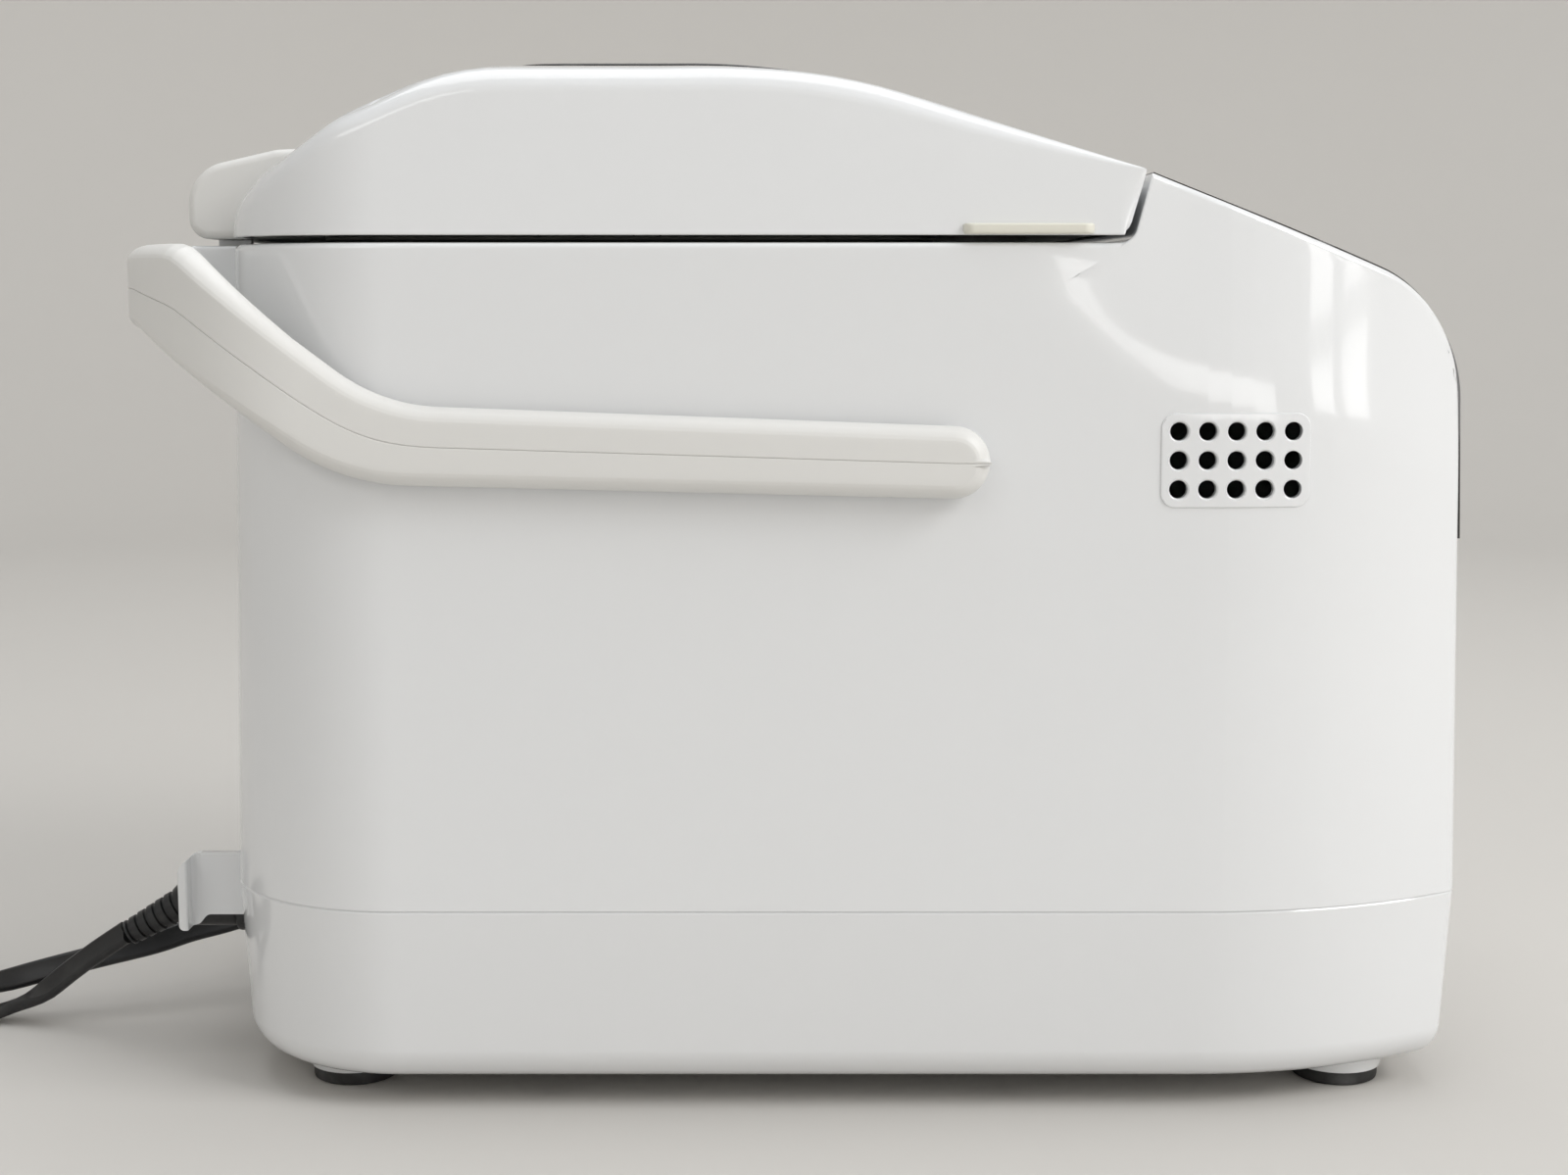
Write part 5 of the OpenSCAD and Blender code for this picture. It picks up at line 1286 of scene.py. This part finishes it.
@dataclass(frozen=True)
class UpperBody:
    """The upper body's shell, its vents, hinge pedestal and handle bosses."""

    vent_y: float = -122.0
    vent_z: float = 186.2
    pitch: float = 8.0
    columns: int = 5
    rows: int = 3
    vent_r: float = 2.5
    proud: float = 0.4

    def build(self) -> None:
        """Builds the shell and the two vent patches."""
        shell = self.shell()
        shell.joined(self.pedestal(), self.boss(), self.boss().mirrored())
        shell.piece("upper_shell", "body", WHITE, ["upper_body"])
        patch = self.vent_patch()
        patch.mirrored().piece("vent_patch_right", "body", WHITE)
        patch.piece("vent_patch_left", "body", WHITE)

    def patch_outline(self, margin: float) -> Outline:
        """The raised patch round the vents."""
        half_y = (self.columns - 1) * self.pitch / 2 + self.vent_r + margin
        half_z = (self.rows - 1) * self.pitch / 2 + self.vent_r + margin
        return Outline.rect(half_y, half_z, 4.0, self.vent_y, self.vent_z)

    def shell(self) -> Solid:
        """The hollow shell with its deck opening and vent windows."""
        seam, deck = BODY.seam_z, BODY.deck_z
        shell = BODY.solid(0.0, 3.0, True)
        inner = BODY.solid(-BODY.wall, 6.0)
        inner.moved(lambda p: Vector((p.x, p.y, p.z - 9)) if p.z < seam + 4 else p)
        shell.cut(inner)
        half = 88 + 0.8 + 1.5 + 0.7
        shell.cut(Solid.prism(Outline.rect(half, half, 27, 0, BODY.pan_y), Axis.Z, deck - 9, deck + 9))
        for start, end in ((-130, -90), (90, 130)):
            shell.cut(Solid.prism(self.patch_outline(0.6), Axis.X, start, end))
        tongue = Solid.box((-68.2, BODY.back_y - 54, seam - 1), (68.2, BODY.back_y + 1, seam + 10.2))
        return shell.cut(tongue)

    def vent_patch(self) -> Solid:
        """The near side's vent patch: a thin raised plate with rounded holes."""
        patch = BODY.solid(self.proud, 1.5)
        patch.within(Solid.prism(self.patch_outline(2.5), Axis.X, -130, -80))
        patch.cut(BODY.solid(-BODY.wall, 3.0))
        patch.rounded(0.35, 2, 50.0)
        flare = [(0.0, -4.0), (self.vent_r, -4.0), (self.vent_r, 0.0), (self.vent_r + 0.06, 0.3),
                 (self.vent_r + 0.2, 0.55), (self.vent_r + 0.5, 0.75), (self.vent_r + 0.5, 3.0), (0.0, 3.0)]
        for i in range(self.columns):
            for j in range(self.rows):
                y = self.vent_y + (i - (self.columns - 1) / 2) * self.pitch
                z = self.vent_z + (j - (self.rows - 1) / 2) * self.pitch
                x = self.wall_x(y, z)
                patch.cut(Solid.spun(flare, (x + 0.85, y, z), (-1, 0, 0), 32))
        return patch

    def wall_x(self, y: float, z: float) -> float:
        """The near side wall's place across the machine at a point."""
        points = BODY.plan().grown(self.proud - BODY.lean(z)).points(2.0)
        near = min((p for p in points if p[0] < 0), key=lambda p: abs(p[1] - y)) if y < -113 else (-9e9, 0)
        straight = -(BODY.half_w + self.proud - BODY.lean(z))
        return max(near[0], straight)

    def pedestal(self) -> Solid:
        """The block behind the deck that the hinge stands on."""
        back, deck = BODY.back_y - BODY.lean(BODY.deck_z), BODY.deck_z
        out = cad_box("upper_body")[1].y
        outline = Outline(((back - 6, deck - 56, 0), (back + 0.5, deck - 52, 0), (out, deck - 36, 8), (out, deck, 1.5),
                           (back - 6, deck, 0)))
        return Solid.prism(outline, Axis.X, -55, 55).rounded(1.2, 3, 50.0)

    def boss(self) -> Solid:
        """The round boss under one end of the handle."""
        low, high = cad_box("handle_pivots")
        y, z = (low.y + high.y) / 2, (low.z + high.z) / 2
        profile = [(0, -9), (9.6, -9), (9.4, -1.2), (9.2, -0.3), (8.7, 0.0), (0, 0.0)]
        return Solid.spun(profile, (114.6, y, z), (1, 0, 0), 48)


@dataclass(frozen=True)
class Lid:
    """The domed lid with its smoked window and hinge cover."""

    inset: float = 0.6
    height: float = 50.4
    edge_r: float = 6.5
    tip_edge_r: float = 0.7
    foot_r: float = 3.6
    side_lean: float = math.tan(math.radians(7.3))
    crown: float = 5.4
    crown_power: float = 3.2
    ear_inboard: float = 5.9
    ear_slot: Point2 = (1.9, 5.8)
    tip_rise: float = 19.4
    slope: float = math.tan(math.radians(17.6))

    @property
    def top_z(self) -> float:
        """The height that the dome's top is drawn to before its corners are rounded."""
        return BODY.lid_z + self.height

    @property
    def half_w(self) -> float:
        """Half the lid's width at its foot."""
        return BODY.half_w - BODY.lean(BODY.deck_z) - self.inset

    @property
    def back_y(self) -> float:
        """The lid's back at its foot."""
        return BODY.back_y - BODY.lean(BODY.deck_z) + 1.2

    def build(self) -> None:
        """Builds the shell, the window and the hinge cover."""
        shell = self.form(0.0, BODY.lid_z).cut(self.form(-BODY.wall, BODY.lid_z - 5))
        shell.piece("lid_shell_smooth", "lid", WHITE, ["lid_shell"])
        self.window().piece("smoked_window", "lid", SMOKED, ["lid_window"])
        self.hinge_cover().piece("hinge_cap", "lid", SATIN, ["hinge_cover"])

    @property
    def crest(self) -> list[Point2]:
        """The dome's middle line from the front tip to the back of its foot."""
        z, top = BODY.lid_z, self.top_z
        tip = z + self.tip_rise
        brow = BODY.lid_front_y(tip) + (top - tip) / self.slope
        back = self.back_y
        side = Outline(((BODY.lid_front_y(tip), z - 60, 0), (back + 28.8, z - 60, 0), (back - 8.6, z + 15.8, 34),
                        (back - 38, z + 36.9, 60), (back - 69, top, 70), (brow, top, 200),
                        (BODY.lid_front_y(tip), tip, 0)))
        return side.points(1.0)[:0:-1]

    def surface(self, drop: float) -> Callable[[float, float], float]:
        """The height of the crowned dome over a place, lowered by a distance square to it."""
        crest = self.crest

        def height(x: float, y: float) -> float:
            middle = height_at(crest, y)
            slope = height_at(crest, y + 0.5) - height_at(crest, y - 0.5)
            share = min(1.0, max(0.0, (middle - BODY.lid_z - 2) / 14))
            back = min(1.0, max(0.0, (y + 40) / 80))
            share *= 0.3 + 0.7 * back * back * (3 - 2 * back)
            fall = self.crown * share * min(1.0, abs(x) / 106) ** self.crown_power
            return middle - fall - drop * math.hypot(1.0, slope)

        return height

    def edge_width(self, point: Vector) -> float:
        """The rounding of the lid's edge at a point, which dies away towards its front tip."""
        share = min(1.0, max(0.0, (point.y - BODY.lid_front_y(point.z) - 1) / 75))
        return self.tip_edge_r + (self.edge_r - self.tip_edge_r) * math.sin(share * math.pi / 2)

    def form(self, grow: float, foot: float) -> Solid:
        """The lid's whole form.

        Args:
            grow: The distance outwards.
            foot: The height of its flat underside.

        Returns:
            The solid.
        """
        half = self.half_w + grow
        front, back = BODY.lid_front_y(foot) - grow, self.back_y - 1 + grow
        plan = Outline(((half, front, 2.5), (half, back, 49 + grow), (-half, back, 49 + grow), (-half, front, 2.5)))
        front_lean = -math.tan(math.radians(15.8))

        def lean(outward: Vector) -> Vector:
            """The wall's drift inwards for each unit of height."""
            return Vector((self.side_lean * outward.x, front_lean * min(0.0, outward.y)))

        def foot_edge(point: Vector) -> float:
            return self.foot_r if point.y < front + 1 else 0.5

        return Dome(spaced(plan.points(3.0), 6.0), lambda x, y: foot, self.surface(-grow), lean,
                    self.edge_width, foot_edge).solid()

    def window(self) -> Solid:
        """The smoked window, a band of the dome that stands a little proud."""
        plan = Outline.rect(70, 60.5, 22, 0, BODY.pan_y - 26.6)
        return Dome(spaced(plan.points(4.0), 4.0), self.surface(1.2), self.surface(-0.8), lambda outward: Vector((0.0, 0.0)),
                    lambda point: 0.7, lambda point: 0.2).solid()

    def hinge_cover(self) -> Solid:
        """The rounded cover over the hinge."""
        low, high = cad_box("hinge_cover")
        z, top = BODY.lid_z, high.z
        outline = Outline(((self.back_y - 27.8, z, 0), (high.y, z, 6), (high.y, z + 20.2, 13), (high.y - 26.5, top - 1, 5),
                           (self.back_y - 33.8, top, 0)))
        cover = Solid.prism(outline, Axis.X, low.x, high.x)
        cover.rounded(2.6, 5, 50.0, lambda e: min(abs(v.co.x) for v in e.verts) > high.x - 0.1)
        pins = cad_box("hinge_pins")
        axis = (pins[0] + pins[1]) / 2
        half_x, reach = self.ear_slot
        for x in (self.ear_inboard - pins[1].x, pins[1].x - self.ear_inboard):
            cover.cut(Solid.box((x - half_x, axis.y - reach, z - 1), (x + half_x, high.y + 1, axis.z + reach)))
        return cover


@dataclass(frozen=True)
class Handle:
    """The carry handle, drawn flat along its own length and then bent round the back of the machine.

    Flat, its length runs along Y from the middle of the crossbar, its depth from the outer face along X, and
    it is moulded in an upper and a lower half.
    """

    cap_r: float = 10.0
    arm_t: float = 7.0
    bar_t: float = 10.0
    corner_r: float = 56.0
    outer_edge: float = 4.9
    inner_edge: float = 1.9
    seam_edge: float = 0.35
    bar_foot: float = 35.0
    bar_top: float = 59.6
    swing_r: float = 236.8
    swing_half: float = 66.0
    low: Point2 = cad_box("handle_pivots")[0].yz
    high: Point2 = cad_box("handle_pivots")[1].yz
    out_x: float = cad_box("carry_handle")[1].x
    back_y: float = cad_box("carry_handle")[1].y

    def build(self) -> None:
        """Builds the handle from its two halves."""
        handle = self.half(True)
        handle.joined(self.half(False))
        handle.piece("carry_handle_smooth", "handle", SATIN, ["carry_handle"])

    @property
    def pivot(self) -> Point2:
        """The handle's pivot as (y, z)."""
        return (self.low[0] + self.high[0]) / 2, (self.low[1] + self.high[1]) / 2

    def limits(self) -> tuple[list[Point2], list[Point2]]:
        """The lower and the upper edge in the side view, each from the pivot to the back."""
        y, z = self.pivot
        back, top, foot = self.back_y, z + self.bar_top, z + self.bar_foot
        rise = 38.5 / 60.1
        low_turn = y + 166.5
        high = Outline(((y, z + self.cap_r, 0), (y, z - 300, 0), (back + 60, z - 300, 0), (back + 60, top, 0),
                        (back - 22, top, 12), (y + 156.6, z + 15.8, 50)))
        flat_y = low_turn + (foot - z + 6) / rise
        low = Outline(((y, z - self.cap_r, 0), (y, z - 300, 0), (back + 60, z - 300, 0), (back + 60, foot, 0),
                       (flat_y, foot, 9), (low_turn, z - 6, 60)))
        return tuple(sorted(p for p in edge.points(3.0) if p[1] > z - 20) for edge in (low, high))

    @property
    def straight(self) -> float:
        """Half the crossbar's straight length."""
        return self.out_x - self.corner_r

    def along(self, length: float) -> tuple[float, float, float]:
        """The outer face's (x, y) at a length from the crossbar's middle, and its turn from the crossbar."""
        side = -1.0 if length > 0 else 1.0
        past = abs(length) - self.straight
        if past <= 0:
            return -length, self.back_y, 0.0
        quarter = self.corner_r * math.pi / 2
        if past >= quarter:
            return side * self.out_x, self.back_y - self.corner_r - (past - quarter), side * math.pi / 2
        turn = past / self.corner_r
        x = self.straight + self.corner_r * math.sin(turn)
        return side * x, self.back_y - self.corner_r * (1 - math.cos(turn)), side * turn

    def stations(self) -> list[float]:
        """The lengths at which the flat form is given points."""
        quarter = self.corner_r * math.pi / 2
        end = self.straight + quarter + self.back_y - self.corner_r - self.pivot[0]
        places = [self.straight * k / 6 for k in range(6)]
        places += [self.straight + quarter * k / 22 for k in range(22)]
        places += [self.straight + quarter + 2.5 * k for k in range(26)]
        places += [end - 15 * k for k in range(8, -1, -1)]
        return sorted(set([-p for p in places] + places))

    def outline(self, upper: bool) -> list[tuple[float, float, Point2]]:
        """One half's flat outline, anticlockwise, as (length, height, outer and inner rounding)."""
        low, high = self.limits()
        z = self.pivot[1]
        places = self.stations()
        middle = [(s, sum(height_at(e, self.along(s)[1]) for e in (low, high)) / 2) for s in places]
        chosen = high if upper else low
        outside = [(s, height_at(chosen, self.along(s)[1])) for s in places]
        steps = 10
        sign = 1 if upper else -1
        cap = [(places[-1] + self.cap_r * math.cos(a), z + sign * self.cap_r * math.sin(a))
               for a in (math.pi / 2 * k / steps for k in range(steps))]
        seam, round_ = (self.seam_edge, self.seam_edge), (self.outer_edge, self.inner_edge)
        run = [(s, h, seam) for s, h in middle]
        run += [(s, h, seam if k < 1 else round_) for k, (s, h) in enumerate(cap)]
        run += [(s, h, round_) for s, h in reversed(outside)]
        run += [(-s, h, seam if k < 1 else round_) for k, (s, h) in reversed(list(enumerate(cap)))]
        return run if upper else run[::-1]

    def layer(self, outline: Sequence[tuple[float, float, Point2]], depth: float) -> list[Vector]:
        """The outline at a depth, drawn in where its edges are rounded."""
        ring = []
        for index, (s, h, rounding) in enumerate(outline):
            past = outline[index - 1]
            coming = outline[(index + 1) % len(outline)]
            run = Vector((coming[0] - past[0], coming[1] - past[1])).normalized()
            outer = depth < self.outer_edge
            radius = rounding[0 if outer else 1]
            into = depth if outer else self.arm_t - depth
            inset = 0.0 if into >= radius else radius - math.sqrt(radius ** 2 - (radius - into) ** 2)
            ring.append(Vector((depth, s - run.y * inset, h + run.x * inset)))
        return ring

    def bend(self, point: Vector) -> Vector:
        """Takes a flat point to its place on the machine."""
        x, y, turn = self.along(point.y)
        share = abs(turn) / (math.pi / 2)
        thickness = self.bar_t - (self.bar_t - self.arm_t) * (1 - math.cos(share * math.pi / 2))
        depth = point.x * thickness / self.arm_t
        return Vector((x - math.sin(turn) * depth, y - math.cos(turn) * depth, point.z))

    def half(self, upper: bool) -> Solid:
        """One half, bent into place and hollowed where it swings past the hinge cover."""
        outline = self.outline(upper)
        quarters = [1 - math.cos(math.pi / 2 * k / 7) for k in range(8)]
        fine = [self.seam_edge * q for q in (0.3, 1.0)]
        depths = sorted([self.outer_edge * q for q in quarters] + fine)
        depths += sorted([self.arm_t - self.inner_edge * q for q in quarters[:-1:2]]
                         + [self.arm_t - d for d in fine])
        half = Solid.loft([self.layer(outline, d) for d in depths])
        half.sliced(Axis.Y, [s + 0.01 for s in self.stations()]).moved(self.bend)
        bmesh.ops.reverse_faces(half.bm, faces=half.bm.faces)
        y, z = self.pivot
        swing = Outline.rect(self.swing_r, self.swing_r, self.swing_r - 0.01, y, z)
        return half.cut(Solid.prism(swing, Axis.X, -self.swing_half, self.swing_half, 2.0))


@dataclass(frozen=True)
class Console:
    """The glossy control panel with its display and keys."""

    proud: float = 0.45
    margin: float = 2.6
    front_half: float = 88.8
    foot_z: float = 162.0
    key_r: float = 6.0
    key_foot: float = -3.75
    display: tuple[float, float] = (58.0, 26.0)
    display_down: float = 22.0

    def build(self) -> None:
        """Builds the panel, the display and the keys."""
        self.panel().piece("glossy_panel", "body", SMOKED, ["control_panel"])
        lens = Solid.prism(Outline.rect(self.display[0] / 2 - 0.1, self.display[1] / 2 - 0.1, 1.2), Axis.Z, 0, 0.8)
        lens.rounded(0.25, 2).turned(self.on_slope(0, self.display_down))
        lens.piece("display_window", "body", FINISHES["display_lens"], ["lcd_lens"])
        spots = {"menu": (-64, 15), "crust": (-64, 37), "timer_up": (64, 15), "timer_down": (64, 37),
                 "stop": (-26, 55), "start": (26, 55)}
        for name, (x, down) in spots.items():
            self.key(name, x, down)

    def on_slope(self, x: float, down: float) -> Matrix:
        """A frame on the slope, its Z standing out of it."""
        top = Matrix.Translation((0, BODY.step_y(BODY.console_z), BODY.console_z))
        return top @ Matrix.Rotation(BODY.slope, 4, "X") @ Matrix.Translation((x, -down, 0))

    def panel(self) -> Solid:
        """The panel, which follows the slope and the front."""
        front = BODY.front_y
        side = BODY.side()
        band = Solid.prism(side.grown(self.proud), Axis.X, -BODY.half_w, BODY.half_w, 2.0)
        band.cut(Solid.prism(side.grown(-0.6), Axis.X, -BODY.half_w - 5, BODY.half_w + 5, 2.0))
        inset = BODY.plan().grown(-self.margin - BODY.lean(BODY.nose_z) - 1.5)
        half, start = inset.corners[1][:2]
        right = [(self.front_half, front - 20, 0), (self.front_half, front + 9, 3), (half, start, 100), (half, 0, 0)]
        left = [(-x, y, r) for x, y, r in reversed(right)]
        top = BODY.step_y(BODY.console_z) - 0.6
        zone = Solid.prism(Outline(tuple(right + left)), Axis.Z, self.foot_z, BODY.console_z + 9, 3.0)
        zone.cut(Solid.box((-150, top, 0), (150, 300, 400)))
        band.within(zone).moved(BODY.shoulder)
        for x, down in ((-64, 15), (-64, 37), (64, 15), (64, 37), (-26, 55), (26, 55)):
            hole = Solid.prism(Outline.rect(self.key_r + 0.3, self.key_r + 0.3, self.key_r + 0.25), Axis.Z, -5, 5, 6.0)
            band.cut(hole.turned(self.on_slope(x, down)))
        glass = Solid.prism(Outline.rect(self.display[0] / 2, self.display[1] / 2, 1.3), Axis.Z, -5, 5)
        band.cut(glass.turned(self.on_slope(0, self.display_down)))
        return band.rounded(0.3, 2, 50.0, clamp=True)

    def key(self, name: str, x: float, down: float) -> None:
        """One key with a dished top and a rounded rim."""
        node = f"{name}_button"
        r, top, foot = self.key_r, self.proud + 0.9, self.key_foot
        profile = [(0.0, foot), (r + 1.6, foot), (r + 1.6, -3.0), (r, -3.0), (r, top - 0.7), (r - 0.2, top - 0.2),
                   (r - 0.7, top), (r - 1.5, top - 0.05), (r * 0.4, top - 0.3), (0.0, top - 0.35)]
        finish = FINISHES["key_orange" if name == "start" else "key_grey"]
        key = Solid.spun(profile, (0, 0, 0), (0, 0, 1), 48).turned(self.on_slope(x, down))
        key.piece(f"{name}_key", f"key_{name}", finish, [node])


@dataclass(frozen=True)
class Inside:
    """The pieces inside, dressed as merged copies of their CAD nodes."""

    edges: dict[str, float] = field(default_factory=lambda: {
        "lid_frame": 0.7, "lid_inner_cover": 0.3, "lid_seal": 0.4, "chamber_rim": 0.25, "baking_chamber": 0.2,
        "bread_pan": 0.4, "pan_base": 0.4, "kneading_paddle": 0.8, "pan_socket": 0.4, "hinge_bracket": 0.3,
        "lid_inner_glass": 0.3})
    round_only: tuple[str, ...] = ("pan_bail", "heater_element", "paddle_shaft", "drive_shaft", "hinge_pins",
                                   "handle_pivots", "temperature_sensor", "motor_rotor", "bearing_bushes")

    def build(self) -> None:
        """Copies the nodes that show when the lid is open, and paints the rest where they are."""
        for node, edge in self.edges.items():
            smooth_node(node, edge)
        for node in self.round_only:
            smooth_node(node)
        slots = {s["node"]: s["material_slot"] for s in frame["record"]["subparts"]}
        for node, item in frame["nodes"].items():
            item.data.materials.clear()
            item.data.materials.append(FINISHES[slots[node]].material())


def main() -> None:
    """Builds the camera, the cord and then every sub-assembly."""
    logging.basicConfig(level=logging.INFO, format="%(message)s")
    scene = bpy.context.scene
    scene.view_settings.view_transform = "Standard"
    Studio().build()
    MainsCord().build()
    for assembly in (Base(), UpperBody(), Lid(), Handle(), Console(), Inside()):
        assembly.build()


if __name__ == "__main__":
    main()
